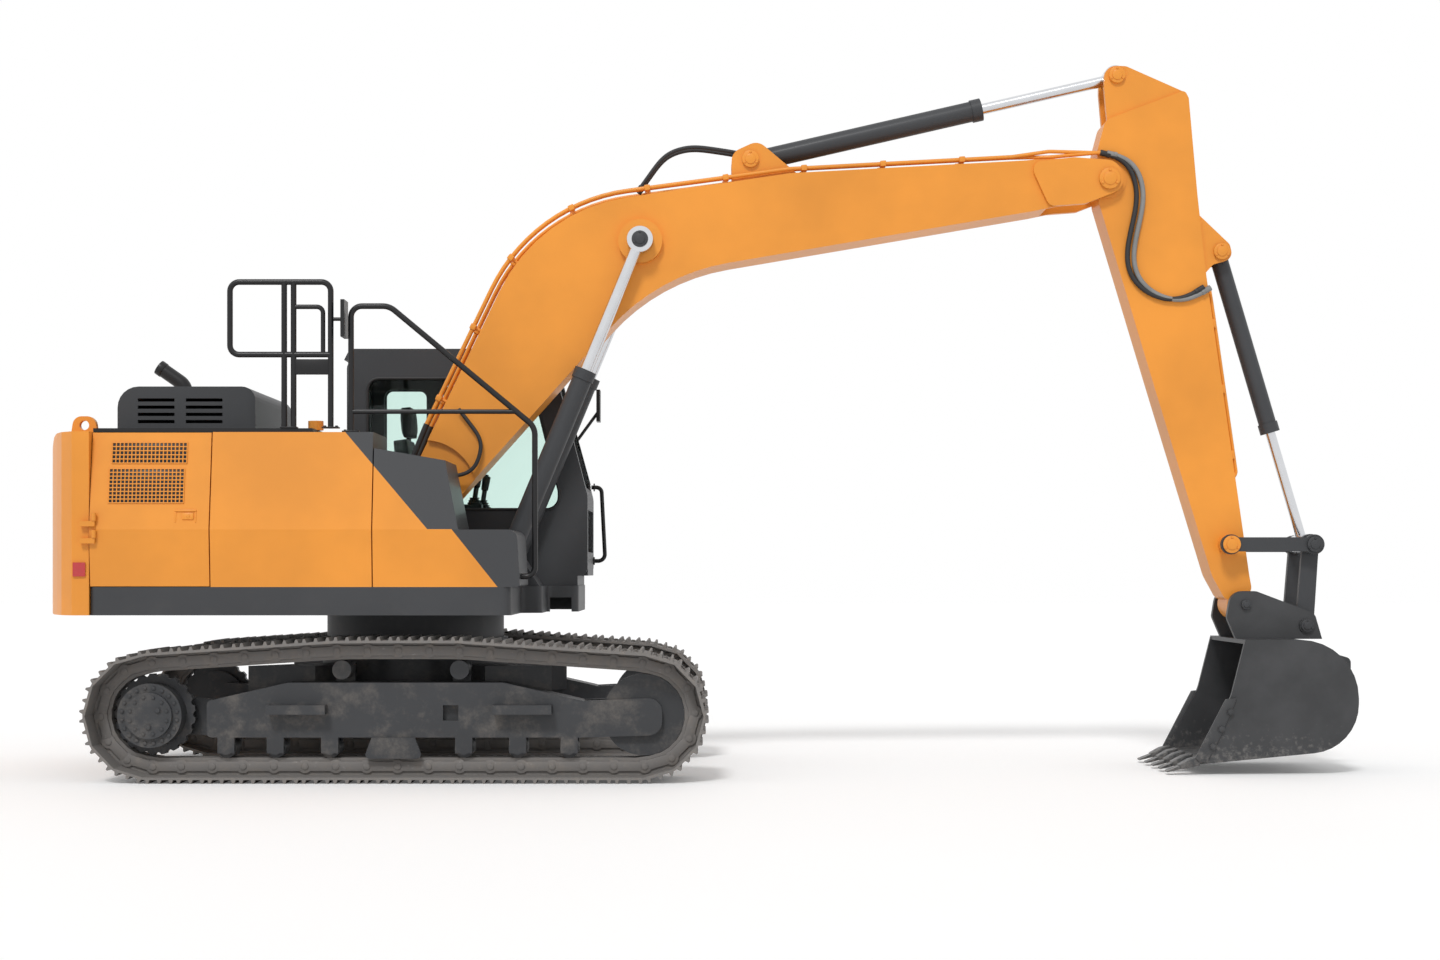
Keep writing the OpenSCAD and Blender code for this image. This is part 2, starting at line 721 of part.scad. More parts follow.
// Front panel, posts and header, open for the windscreen and the lower window
module cab_front_frame() {
    band = [[cab_front - cab_wall, cab_sill], [cab_front, cab_sill], [cab_front, 1900],
        [930, cab_top - 80],
        [930 - cab_wall, cab_top - 80], [cab_front - cab_wall, 1890]];
    color(grey) difference() {
        plate(band, cab_y0 + cab_wall, cab_y1 - cab_wall);
        box([cab_front - 200, front_window[0], front_low[0]],
            [cab_front + 1, front_window[1], front_low[1]]);
        box([800, front_window[0], front_high[0]], [cab_front + 1, front_window[1], front_high[1]]);
    }
}

module cab_roof() {
    rim = rounded([[cab_rear - 20, cab_top - 80, 0], [960, cab_top - 80, 0], [900, cab_top, 60],
        [cab_rear + 20, cab_top, 60]]);
    color(grey) plate(rim, cab_y0, cab_y1);
}

// Panes that fill the cab's windows, and the windscreen between its posts
module cab_glass() {
    mid = cab_wall / 2;
    color(glass_colour) {
        plate(rounded(right_window), cab_y0 + mid - glass_t / 2, cab_y0 + mid + glass_t / 2);
        plate(rounded(quarter_window), cab_y1 - mid - glass_t / 2, cab_y1 - mid + glass_t / 2);
        box([cab_rear + mid - glass_t / 2, rear_window[0], rear_window[2]],
            [cab_rear + mid + glass_t / 2, rear_window[1], rear_window[3]]);
        box([cab_front - mid - glass_t / 2, front_window[0], front_low[0]],
            [cab_front - mid + glass_t / 2, front_window[1], front_low[1]]);
        windscreen();
    }
}

module windscreen() {
    low = [cab_front - 40, front_high[0]];
    high = [low.x - 225, front_high[1]];
    plate([low, low + [glass_t, 0], high + [glass_t, 0], high], front_window[0], front_window[1]);
}

module cab_door() {
    color(grey) difference() {
        union() {
            plate(rounded(door_line), cab_y1 - cab_wall, cab_y1);
            for (z = cab_hinge_z) hinge_knuckle(cab_hinge, z, cab_y1 - 1);
        }
        plate(rounded(door_window), cab_y1 - cab_wall - 1, cab_y1 + 1);
    }
}

module cab_door_glass() {
    mid = cab_y1 - cab_wall / 2;
    color(glass_colour) plate(rounded(door_window), mid - glass_t / 2, mid + glass_t / 2);
}

module operator_seat() {
    y = (cab_y0 + cab_y1) / 2;
    color(black) {
        box([-60, y - 200, cab_sill], [330, y + 200, 1640]);
        plate(rounded([[-120, 1640, 30], [400, 1640, 50], [400, 1770, 60], [40, 1770, 60],
            [-60, 2330, 40], [-190, 2330, 50]]),
            y - 245, y + 245);
        plate(rounded([[-175, 2330, 0], [-80, 2330, 0], [-100, 2560, 40], [-195, 2560, 40]]), y - 130,
            y + 130);
    }
}

module control_consoles() {
    y = (cab_y0 + cab_y1) / 2;
    color(grey) {
        for (s = [-1, 1]) {
            yc = y + s * 320;
            box([-40, yc - 60, cab_sill], [420, yc + 60, 1840]);
            rod([360, yc, 1839], [385, yc, 2010], 18);
        }
        for (s = [-1, 1]) {
            translate([760, y + s * 60, cab_sill]) cylinder(r = 30, h = 30);
            translate([760, y + s * 60, cab_sill + 29]) cylinder(r = 14, h = 540);
            box([800, y + s * 180 - 50, cab_sill], [960, y + s * 180 + 50, cab_sill + 40]);
        }
    }
}

// Boom
boom_top = [[-140, 60, 110], [1515, 1430, 1150], [3190, 945, 300], [boom_len - 161, 235, 90]];
module boom() {
    outline = rounded(concat(boom_top, [[boom_len - 156, 150, 20], [boom_len - 271, -50, 60],
        [boom_len - 551, 15, 300]],
        [[2075, 690, 1400]], [[110, -165, 130]]), 8);
    ear = rounded([[boom_len - 451, 330, 60], [boom_len - 161, 235, 90], [boom_len + 95, 95, 100],
        [boom_len + 95, -105, 100], [boom_len - 221, -85, 60],
        [boom_len - 451, 0, 60]]);
    lug = rounded([[2780, 1010, 0], [3250, 900, 0], [arm_base_local.x + 100, arm_base_local.y + 95, 90],
        [arm_base_local.x - 100, arm_base_local.y + 95, 90]]);
    color(orange) on_boom() difference() {
        union() {
            plate(outline, -boom_w / 2, boom_w / 2);
            bar([0, 0], 150, -foot_half, foot_half);
            plate_pair(ear, tip_half + side_gap, ear_half);
            plate_pair(lug, lug_half + side_gap, lug_out);
            bar(arm_base_local, cyl_pin_r, -lug_out - 12, lug_out + 12);
            bar_pair(boom_rod_local, 150, boom_w / 2 - 1, cyl_y - cyl_half - side_gap);
        }
        bar([0, 0], foot_pin_r + run, -foot_half - 1, foot_half + 1);
        // Room for the brackets on either side of the foot
        bar_pair([0, 0], 360, foot_half, boom_w / 2 + 1);
        // Room for the arm's head between the ears
        bar([boom_len, 0], 470, -tip_half - side_gap, tip_half + side_gap);
    }
    color(orange) on_boom() bar([boom_len, 0], tip_pin_r, -ear_half - 12, ear_half + 12);
}

pipe_r = 16;
boom_top_slope = (boom_top[3].y - boom_top[2].y) / (boom_top[3].x - boom_top[2].x);
function boom_top_line(u) = boom_top[2].y + (u - boom_top[2].x) * boom_top_slope;
module boom_pipes() {
    lift = (pipe_r + 0.3) * sqrt(1 + pow(boom_top_slope, 2));
    color(orange) on_boom() for (s = [-1, 1], i = [0 : 1]) {
        y = s * (110 + 45 * i);
        rail([[3500, y, boom_top_line(3500) + lift], [4500, y, boom_top_line(4500) + lift]], pipe_r);
    }
}

// Arm
module arm() {
    outline = rounded([[-430, 690, 30], [-370, 700, 30], [280, 556, 300], [830, 446, 300],
        [arm_len - 171, 105, 60], [arm_len - 51, 90, 60],
        [arm_len - 51, -100, 60], [arm_len - 251, -139, 200], [1500, -125, 0], [128, -105, 120],
            [-210, -10, 120], [-400, 110, 80]]);
    rod_lug = rounded([[-420, 690, 0], [arm_rod_local.x - 40, arm_rod_local.y + 80, 70],
        [arm_rod_local.x - 90, arm_rod_local.y - 60, 80],
            [arm_rod_local.x + 60, arm_rod_local.y - 110, 60], [-380, 120, 0]]);
    base_lug = rounded([[360, 500, 0], [bucket_base_local.x - 30, bucket_base_local.y + 70, 60],
        [bucket_base_local.x + 72, bucket_base_local.y + 62, 60],
            [bucket_base_local.x + 66, bucket_base_local.y - 80, 60],
        [840, 400, 0]]);
    color(orange) on_arm() difference() {
        union() {
            plate(outline, -arm_w / 2, arm_w / 2);
            bar([0, 0], 125, -tip_half, tip_half);
            bar([arm_len, 0], 105, -arm_w / 2, arm_w / 2);
            bar([arm_len, 0], 60, -link_out, link_out);
            bar(guide_local, 60, -bucket_ear_out, bucket_ear_out);
            plate_pair(rod_lug, lug_half + side_gap, lug_out);
            bar_pair(arm_rod_local, 55, lug_half + side_gap, lug_out + 12);
            plate_pair(base_lug, lug_half + side_gap, lug_out);
            bar(bucket_base_local, cyl_pin_r, -lug_out - 12, lug_out + 12);
            bar(guide_local, link_pin_r, -guide_out - 10, guide_out + 10);
        }
        bar([0, 0], tip_pin_r + run, -tip_half - 1, tip_half + 1);
        bar([arm_len, 0], link_pin_r + run, -link_out - 1, link_out + 1);
    }
}

module arm_hoses() {
    color(black) on_arm() for (s = [-1, 1])
        rail([for (p = [[60, 330], [420, 250], [700, 360]]) [p.x, s * (arm_w / 2 + 19.3), p.y]], 18);
}

// Barrel of a cylinder, its base pin at the origin
module barrel(form, eye_r, half) {
    difference() {
        union() {
            bar([0, 0], eye_r, -half, half);
            along_x(eye_r - 20, form[0], form[1]);
            along_x(form[0] - 70, form[0], form[1] + 8);
        }
        bar([0, 0], cyl_pin_r + run, -max(half, form[1]) - 1, max(half, form[1]) + 1);
        along_x(eye_r + 20, form[0] + 1, form[2] + run);
    }
}

module piston_rod(form, len, eye_r, half, inside) {
    along_x(inside, len - eye_r / 2, form[2]);
    bar([len, 0], eye_r, -half, half);
}

module boom_cylinder_barrels() {
    color(grey) on_cylinder(boom_cyl_base, boom_rod) for (s = [-1, 1]) translate([0, s * cyl_y, 0])
        barrel(boom_barrel, 84, cyl_half);
}

module boom_cylinder_rods() {
    color(steel) on_cylinder(boom_cyl_base, boom_rod) for (s = [-1, 1]) translate([0, s * cyl_y, 0])
        piston_rod(boom_barrel, boom_cyl_len, 88, cyl_half, 860);
}

module arm_cylinder_barrel() {
    color(grey) on_cylinder(arm_base, arm_rod) barrel(arm_barrel, 84, lug_half);
}

module arm_cylinder_rod() {
    color(steel) on_cylinder(arm_base, arm_rod) piston_rod(arm_barrel, arm_cyl_len, 80, lug_half, 900);
}

module bucket_cylinder_barrel() {
    color(grey) on_cylinder(bucket_base, link_pin) barrel(bucket_barrel, 76, lug_half);
}

module bucket_cylinder_rod() {
    color(steel) on_cylinder(bucket_base, link_pin)
        piston_rod(bucket_barrel, bucket_cyl_len, 72, arm_w / 2, 580);
}

// The pair of links from the arm to the cylinder's rod
module guide_links() {
    color(grey) translate([0, boom_y, 0]) for (s = [-1, 1]) difference() {
        union() {
            for (p = [guide_pin, link_pin]) bar(p, 68, s > 0 ? guide_in : -guide_out,
                s > 0 ? guide_out : -guide_in);
            plate([guide_pin + [0, -48], link_pin + [0, -48], link_pin + [0, 48], guide_pin + [0, 48]],
                s > 0 ? guide_in : -guide_out, s > 0 ? guide_out : -guide_in);
            bar(link_pin, link_pin_r, s > 0 ? link_out + 4 : -guide_out - 10,
                s > 0 ? guide_out + 10 : -link_out - 4);
        }
        bar(guide_pin, link_pin_r + run, -guide_out - 1, guide_out + 1);
    }
}

// The two side links from the rod to the bucket, outside the arm
module bucket_link() {
    across = turn(unit(bucket_rod_pin - link_pin), 90);
    side_line = [link_pin - across * 55, link_pin + across * 55, bucket_rod_pin + across * 60,
        bucket_rod_pin - across * 60];
    color(grey) translate([0, boom_y, 0]) difference() {
        union() {
            bar_pair(link_pin, 72, link_in, link_out);
            plate_pair(side_line, link_in, link_out);
            bar_pair(bucket_rod_pin, 68, link_in, link_out);
        }
        bar(link_pin, link_pin_r + run, -link_out - 1, link_out + 1);
        bar(bucket_rod_pin, link_pin_r + run, -link_out - 1, link_out + 1);
    }
}

// Bucket, in places measured from its pin
side_t = 28;
lift_eye = [735, -420];
lift_eye_rim = 45;
lift_eye_r = 24;
module bucket() {
    half = bucket_w / 2;
    shell = concat([[-70, -232]], corner([-70, -232], [690, -232], [690, -962], 390, 8),
        corner([690, -232], [690, -962], [-400, -1068], 330, 8), [[-400, -1068], [-400, -1040]],
        corner([-400, -1040], [662, -938], [662, -260], 302, 8),
            corner([662, -938], [662, -260], [-70, -260], 362, 8),
        [[-70, -260]]);
    side = concat([[-70, -232]], corner([-70, -232], [690, -232], [690, -962], 390, 8),
        corner([690, -232], [690, -962], [-400, -1068], 330, 8), [[-400, -1068]],
        corner([-400, -1068], [-165, -610], [-70, -232], 300, 6));
    ear = rounded([[-100, 92, 90], [70, 92, 80], [470, -60, 60], [520, -234, 0], [-68, -234, 0],
        [-130, -90, 60]]);
    color(grey) on_bucket() difference() {
        union() {
            plate(shell, -half, half);
            plate(side, -half, -half + side_t);
            plate(side, half - side_t, half);
            plate_pair(ear, bucket_ear_in, bucket_ear_out);
            bar([0, 0], link_pin_r, -bucket_ear_out - 12, bucket_ear_out + 12);
            bar_pair(bucket_rod_pin - bucket_pin, 52, bucket_ear_in, bucket_ear_out + 14);
            bar(bucket_rod_pin - bucket_pin, link_pin_r, -bucket_ear_in - 1, bucket_ear_in + 1);
            // Teeth along the lip
            for (i = [-2 : 2]) plate([[-380, -1060], [-380, -1025], [-590, -1108], [-592, -1118],
                [-400, -1072]],
                i * half * 0.46 - 45, i * half * 0.46 + 45);
            plate(rounded([[660, -340, 0], [lift_eye.x + lift_eye_rim, lift_eye.y + lift_eye_rim, 40],
                [lift_eye.x + lift_eye_rim, lift_eye.y - lift_eye_rim, 40], [670, -520, 0]]), -20, 20);
        }
        bar(lift_eye, lift_eye_r, -21, 21);
    }
}

// The origin lies on the ground, under the middle of the whole machine
weight_rear = min([for (p = weight_profile) p.x]);
bucket_front = bucket_pin.x + lift_eye.x + lift_eye_rim;
middle_x = (bucket_front + weight_rear) / 2;
translate([-middle_x, 0, 0]) {
    car_body();
    swing_bearing();
    track_frame_right();
    track_frame_left();
    track_right();
    track_left();
    sprockets();
    idlers();
    track_rollers();
    carrier_rollers();
    main_frame();
    counterweight();
    engine_block();
    bulkheads();
    top_deck();
    right_side_tank();
    right_front_box();
    left_side_box();
    right_rear_door();
    left_rear_door();
    engine_hood();
    exhaust_stack();
    rear_rails();
    front_handrail();
    cab_rail();
    mirrors();
    tail_lamps();
    cab_floor();
    cab_right_wall();
    cab_left_wall();
    cab_rear_wall();
    cab_front_frame();
    cab_roof();
    cab_glass();
    cab_door();
    cab_door_glass();
    operator_seat();
    control_consoles();
    boom();
    boom_pipes();
    arm();
    arm_hoses();
    boom_cylinder_barrels();
    boom_cylinder_rods();
    arm_cylinder_barrel();
    arm_cylinder_rod();
    bucket_cylinder_barrel();
    bucket_cylinder_rod();
    guide_links();
    bucket_link();
    bucket();
}
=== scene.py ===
"""Finishes, soft parts and small fittings for a crawler excavator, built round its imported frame."""

import json
import math

import bmesh
import bpy
from bpy.props import FloatProperty, FloatVectorProperty, PointerProperty
from mathutils import Matrix, Vector


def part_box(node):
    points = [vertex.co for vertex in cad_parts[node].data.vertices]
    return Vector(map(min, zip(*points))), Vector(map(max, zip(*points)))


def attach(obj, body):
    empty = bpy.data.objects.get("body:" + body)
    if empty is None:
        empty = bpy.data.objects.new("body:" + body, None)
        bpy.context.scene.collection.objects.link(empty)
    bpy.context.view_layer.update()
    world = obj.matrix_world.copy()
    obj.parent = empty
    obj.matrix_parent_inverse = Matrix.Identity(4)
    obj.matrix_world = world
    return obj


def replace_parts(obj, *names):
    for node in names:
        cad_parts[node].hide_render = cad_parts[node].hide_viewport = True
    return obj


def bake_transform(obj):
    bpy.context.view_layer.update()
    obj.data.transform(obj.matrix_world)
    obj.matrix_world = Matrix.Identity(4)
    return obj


bl_info = {
    "name": "Crawler Excavator Looks",
    "version": (1, 0, 0),
    "blender": (4, 5, 0),
    "location": "View3D > Sidebar > Excavator",
    "description": "Dresses a packed crawler excavator with paint, glass, seat, hoses and fittings",
    "category": "Object",
}

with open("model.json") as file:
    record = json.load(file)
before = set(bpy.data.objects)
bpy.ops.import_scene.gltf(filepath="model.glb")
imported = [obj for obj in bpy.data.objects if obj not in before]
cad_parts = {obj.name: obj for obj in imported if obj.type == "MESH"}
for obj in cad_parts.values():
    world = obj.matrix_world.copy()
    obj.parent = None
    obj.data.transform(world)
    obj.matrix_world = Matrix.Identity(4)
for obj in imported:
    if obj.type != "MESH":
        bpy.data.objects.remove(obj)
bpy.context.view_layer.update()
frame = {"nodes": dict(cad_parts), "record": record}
# The swing axis, from which all places below are given, in metres
SWING_X = sum(corner.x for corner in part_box("swing_bearing")) / 2
# The plane of the boom and arm
BOOM_Y = -0.1
# Origin pin (along the machine, height) and slope of each link of the digging gear
BOOM = ((0.09, 1.9), math.radians(24.6))
ARM = ((4.7735, 4.0443), math.radians(-72.4))
BUCKET = ((5.6961, 1.1361), 0.0)
# Centres of the sprocket and the idler (along the machine, height)
SPROCKET = (-1.58, 0.43)
IDLER = (1.61, 0.43)
# The right side's panels stand upright to the knee and lean in above it
PANEL_Y = -1.245
PANEL_KNEE = 1.632
PANEL_LEAN = 0.1 / 0.633
# The cab's middle and the outside of its left windows
CAB_Y = 0.765
CAB_LEFT = 1.243
SIDES = (-1, 1)
UP = Vector((0, 0, 1))
# Edges that fold by more than this are shaded sharp
SHARP_FOLD = math.radians(38)


def colour_setting(name, description, default):
    """A setting that holds a colour."""
    return FloatVectorProperty(name=name, description=description, subtype="COLOR", size=3,
                               min=0, max=1, default=default)


def length_setting(name, description, least, most, default):
    """A setting that holds a length in metres."""
    return FloatProperty(name=name, description=description, unit="LENGTH",
                         min=least, max=most, default=default)


class PaintSettings(bpy.types.PropertyGroup):
    """Colours of the machine's finishes."""

    orange: colour_setting("Orange", "Paint of the panels, boom and arm", (0.8, 0.298, 0.034))
    charcoal: colour_setting("Charcoal", "Dark grey paint of the frame, cab and undercarriage",
                             (0.044, 0.046, 0.05))
    black: colour_setting("Black", "Paint of the rails and mirrors", (0.006, 0.006, 0.007))
    track: colour_setting("Track steel", "Cast steel of the track shoes and chain",
                          (0.205, 0.194, 0.186))
    glass: colour_setting("Glass", "Tint of the cab's panes", (0.8, 0.92, 0.88))
    dust: colour_setting("Dust", "Dry dust on the undercarriage", (0.26, 0.23, 0.2))
    peel_size: length_setting("Paint texture", "Size of the ripples in the sprayed paint",
                              0.001, 0.02, 0.004)


class SeatSettings(bpy.types.PropertyGroup):
    """Sizes of the operator's seat."""

    cushion_height: length_setting("Cushion height", "Thickness of the seat cushion at its edge",
                                   0.08, 0.2, 0.125)
    crown: length_setting("Crown", "How far a cushion rises towards its middle", 0, 0.05, 0.022)


class LineSettings(bpy.types.PropertyGroup):
    """Sizes of the hoses, pipes and rails."""

    hose: length_setting("Hose", "Radius of the hoses over the arm's pin", 0.01, 0.03, 0.017)
    pipe: length_setting("Pipe", "Radius of the steel pipes along the boom", 0.008, 0.025, 0.013)
    rail: length_setting("Rail", "Radius of the guard rails", 0.012, 0.025, 0.019)


class CameraSettings(bpy.types.PropertyGroup):
    """The photograph's view."""

    place: FloatVectorProperty(
        name="Place", description="Where the camera stands, from the swing axis",
        subtype="TRANSLATION", size=3, default=(1.977, -16.295, 1.365))
    lens: FloatProperty(
        name="Lens", description="Focal length in millimetres", min=20, max=200, default=58.5)
    shift_right: FloatProperty(
        name="Shift right", description="Sideways shift as a share of the picture's width",
        min=-0.2, max=0.2, default=0.0139)
    shift_up: FloatProperty(
        name="Shift up", description="Upward shift as a share of the picture's width",
        min=-0.2, max=0.2, default=0.0632)
    floor_size: length_setting("Floor size", "Length of the floor's sides", 20, 400, 160)


class Value:
    """A shader socket that takes part in Python expressions."""

    def __init__(self, shader, socket):
        self.shader = shader
        self.socket = socket

    def _maths(self, operation, first, second):
        return self.shader.node("ShaderNodeMath", {"operation": operation}, {0: first, 1: second})

    def __add__(self, other):
        return self._maths("ADD", self, other)

    __radd__ = __add__

    def __sub__(self, other):
        return self._maths("SUBTRACT", self, other)

    def __rsub__(self, other):
        return self._maths("SUBTRACT", other, self)

    def __mul__(self, other):
        return self._maths("MULTIPLY", self, other)

    __rmul__ = __mul__

    def __gt__(self, other):
        return self._maths("GREATER_THAN", self, other)


class Nodes:
    """The nodes of a material or world, made by method calls."""

    def __init__(self, owner):
        owner.use_nodes = True
        self.tree = owner.node_tree

    def node(self, kind, settings=None, inputs=None, output=0):
        """Adds one node, sets it up, links its inputs and returns one of its outputs."""
        made = self.tree.nodes.new(kind)
        for key, setting in (settings or {}).items():
            setattr(made, key, setting)
        for key, given in (inputs or {}).items():
            self.feed(made.inputs[key], given)
        return Value(self, made.outputs[output])

    def feed(self, socket, given):
        """Links a Value to a socket or sets the socket's own value."""
        if isinstance(given, Value):
            self.tree.links.new(given.socket, socket)
        elif socket.type == "RGBA":
            socket.default_value = (*given, 1.0)
        else:
            socket.default_value = given


class Shader(Nodes):
    """A material whose nodes are made by method calls and expressions."""

    def __init__(self, name):
        self.material = bpy.data.materials.new(name)
        super().__init__(self.material)
        self.surface = self.tree.nodes["Principled BSDF"]
        self.coordinates = self.node("ShaderNodeTexCoord", output="Object")

    def set(self, **sockets):
        """Feeds the surface's sockets, named with underscores for spaces."""
        for name, given in sockets.items():
            self.feed(self.surface.inputs[name.replace("_", " ")], given)

    def noise(self, scale, detail=3.0, roughness=0.55):
        return self.node("ShaderNodeTexNoise", {}, {
            "Vector": self.coordinates, "Scale": scale, "Detail": detail, "Roughness": roughness})

    def ramp(self, factor, low, high):
        """A share of 0 below low and 1 above high, smooth between them."""
        return self.node("ShaderNodeMapRange", {"interpolation_type": "SMOOTHSTEP"}, {
            "Value": factor, "From Min": low, "From Max": high})

    def mix(self, factor, first, second):
        return self.node("ShaderNodeMix", {"data_type": "RGBA"}, {0: factor, 6: first, 7: second},
                         output=2)

    def axis(self, name):
        """One coordinate of the surface's place, in metres."""
        return self.node("ShaderNodeSeparateXYZ", {}, {0: self.coordinates}, output=name)

    def bump(self, height, strength, distance):
        bumped = self.node("ShaderNodeBump", {},
                           {"Height": height, "Strength": strength, "Distance": distance})
        self.feed(self.surface.inputs["Normal"], bumped)


def shade(colour, share):
    """A colour made darker or lighter by a share."""
    return tuple(min(1.0, part * share) for part in colour)


def sprayed_paint(shader, paint, colour, roughness=0.42, coat=0.2, stripe=None):
    """Sprayed enamel with a faint ripple, drifting tone and a breath of dust low down."""
    tone = shader.noise(0.9, 4.0)
    ripple = shader.noise(1.0 / paint.peel_size, 1.0)
    base = shader.mix(shader.ramp(tone, 0.3, 0.7), shade(colour, 0.88), shade(colour, 1.07))
    if stripe:
        base = shader.mix(stripe(shader), base, paint.charcoal)
    height = shader.axis("Z")
    patches = shader.ramp(shader.noise(5.0, 6.0, 0.7), 0.45, 0.8)
    grime = patches * (1 - shader.ramp(height, 0.3, 1.3))
    base = shader.mix(grime * 0.5, base, paint.dust)
    shader.set(Base_Color=base, Roughness=roughness + 0.12 * tone + 0.25 * grime,
               Coat_Weight=coat, Coat_Roughness=0.2, Specular_IOR_Level=0.32)
    shader.bump(ripple, 0.06, 0.0004)


def chevron(shader):
    """The dark field ahead of a slanting line on the right side's front panels."""
    x = shader.axis("X") - SWING_X
    z = shader.axis("Z")
    # Each half's line: a height, how far it runs back per metre of rise, and its x at that height
    upper = (x + (z - 2.265) * 0.86) > -0.32
    lower = (x + (z - PANEL_KNEE) * 0.79) > 0.38
    above = z > 1.634
    return upper * above + lower * (1 - above)


def cast_steel(shader, paint, colour):
    """Rough cast steel with patches of dust and of rubbed, brighter metal."""
    coarse = shader.noise(14.0, 8.0, 0.7)
    fine = shader.noise(160.0, 4.0, 0.6)
    dusty = shader.ramp(coarse, 0.42, 0.72)
    base = shader.mix(dusty * 0.55, colour, paint.dust)
    rubbed = shader.ramp(shader.noise(38.0, 5.0, 0.65), 0.6, 0.74)
    base = shader.mix(rubbed * 0.5, base, (0.3, 0.29, 0.28))
    shader.set(Base_Color=base, Roughness=0.78 - 0.3 * rubbed, Metallic=0.35 + 0.4 * rubbed)
    shader.bump(coarse * 0.7 + fine * 0.3, 0.35, 0.004)


def polished_rod(shader):
    """Hard chrome with smears of oil and a very fine grain."""
    smear = shader.noise(7.0, 4.0)
    grain = shader.noise(420.0, 2.0)
    shader.set(Base_Color=shader.mix(smear, (0.6, 0.61, 0.63), (0.74, 0.75, 0.77)),
               Roughness=0.14 + 0.12 * smear, Metallic=1.0)
    shader.bump(grain, 0.04, 0.0003)


def tinted_pane(shader, paint):
    """Green-tinted safety glass with a film of dust in patches."""
    film = shader.ramp(shader.noise(3.0, 5.0, 0.7), 0.5, 0.85)
    shader.set(Base_Color=shader.mix(film * 0.15, paint.glass, (0.86, 0.88, 0.85)),
               Roughness=0.02 + 0.1 * film, Transmission_Weight=1.0, IOR=1.2)


def worn_bucket(shader):
    """Dark bucket paint, scoured to bare steel low down, where the lip and teeth are."""
    height = shader.axis("Z")
    scour = shader.noise(22.0, 7.0, 0.7)
    bare = shader.ramp(scour + (0.35 - height) * 0.9, 0.62, 0.86)
    patch = shader.ramp(shader.noise(3.0, 5.0), 0.35, 0.7)
    coat = shader.mix(patch, (0.028, 0.029, 0.031), (0.044, 0.045, 0.048))
    shader.set(Base_Color=shader.mix(bare * 0.6, coat, (0.22, 0.21, 0.2)),
               Roughness=0.5 - 0.1 * bare, Metallic=0.55 * bare)
    shader.bump(scour, 0.18, 0.002)


def grained_rubber(shader, colour):
    """Hose cover with a fine grain, duller in patches."""
    grain = shader.noise(260.0, 2.0)
    dull = shader.noise(9.0, 4.0)
    shader.set(Base_Color=shader.mix(dull, shade(colour, 0.8), shade(colour, 1.5)),
               Roughness=0.55 + 0.2 * dull)
    shader.bump(grain, 0.25, 0.0008)


def lamp_lens(shader, colour):
    """Moulded lens with the prisms behind its face."""
    prisms = shader.node("ShaderNodeTexVoronoi", {}, {"Vector": shader.coordinates, "Scale": 90.0})
    tone = shader.noise(20.0, 2.0)
    shader.set(Base_Color=shader.mix(tone * 0.4, colour, shade(colour, 0.6)),
               Roughness=0.12 + 0.08 * tone, Coat_Weight=0.8)
    shader.bump(prisms, 0.3, 0.002)


def woven_cloth(shader, colour):
    """Seat cloth in a plain weave, read along the seat's own axes."""
    across, along = (shader.node("ShaderNodeTexWave", {"bands_direction": axis},
                                 {"Vector": shader.coordinates, "Scale": 160.0}) for axis in "YZ")
    fade = shader.noise(6.0, 4.0)
    shader.set(Base_Color=shader.mix(fade, shade(colour, 0.8), shade(colour, 1.3)),
               Roughness=0.85 + 0.1 * fade, Sheen_Weight=0.3)
    shader.bump(across * 0.5 + along * 0.5, 0.3, 0.0012)


FINISHES = {}


def mix_finishes(paint):
    """Makes every finish once, under the names of the record's slots."""
    for name, recipe, *settings in (
            ("orange_paint", sprayed_paint, paint, paint.orange),
            ("striped_paint", sprayed_paint, paint, paint.orange, 0.42, 0.2, chevron),
            ("grey_paint", sprayed_paint, paint, paint.charcoal, 0.48, 0.1),
            ("black_paint", sprayed_paint, paint, paint.black, 0.38, 0.15),
            ("track_steel", cast_steel, paint, paint.track),
            ("rod_chrome", polished_rod),
            ("tinted_glass", tinted_pane, paint),
            ("bucket_paint", worn_bucket),
            ("hose_rubber", grained_rubber, (0.018, 0.018, 0.019)),
            ("hose_guard", grained_rubber, (0.2, 0.2, 0.195)),
            ("red_lens", lamp_lens, (0.5, 0.012, 0.016)),
            ("seat_fabric", woven_cloth, (0.03, 0.031, 0.034))):
        shader = Shader(name)
        recipe(shader, *settings)
        FINISHES[name] = shader.material


class EXCAVATOR_OT_finishes(bpy.types.Operator):
    """Paints every solid of the frame with its slot's finish"""

    bl_idname = "excavator.finishes"
    bl_label = "Paint the Frame"

    striped = ("right_side_tank", "right_front_box")

    def execute(self, context):
        mix_finishes(context.scene.excavator_paint)
        slots = {part["node"]: part["material_slot"] for part in frame["record"]["subparts"]}
        for node, solid in frame["nodes"].items():
            finish = "striped_paint" if node in self.striped else slots[node]
            solid.data.materials.clear()
            solid.data.materials.append(FINISHES[finish])
        return {"FINISHED"}


def spot(x, y, z):
    """A point given from the swing axis, in the frame's own metres."""
    return Vector((x + SWING_X, y, z))


def along(link, u, v, y=0.0):
    """A point along a link's line, square to it and across it, from the link's first pin."""
    (x, z), slope = link
    return spot(x + u * math.cos(slope) - v * math.sin(slope), BOOM_Y + y,
                z + u * math.sin(slope) + v * math.cos(slope))


def in_plane(y, corners):
    """Corners in a plane across the machine, given as x, z and radius."""
    return [(spot(x, y, z), radius) for x, z, radius in corners]


def on_link(link, y, corners):
    """Corners in a plane along a link, given as u, v and radius."""
    return [(along(link, u, v, y), radius) for u, v, radius in corners]


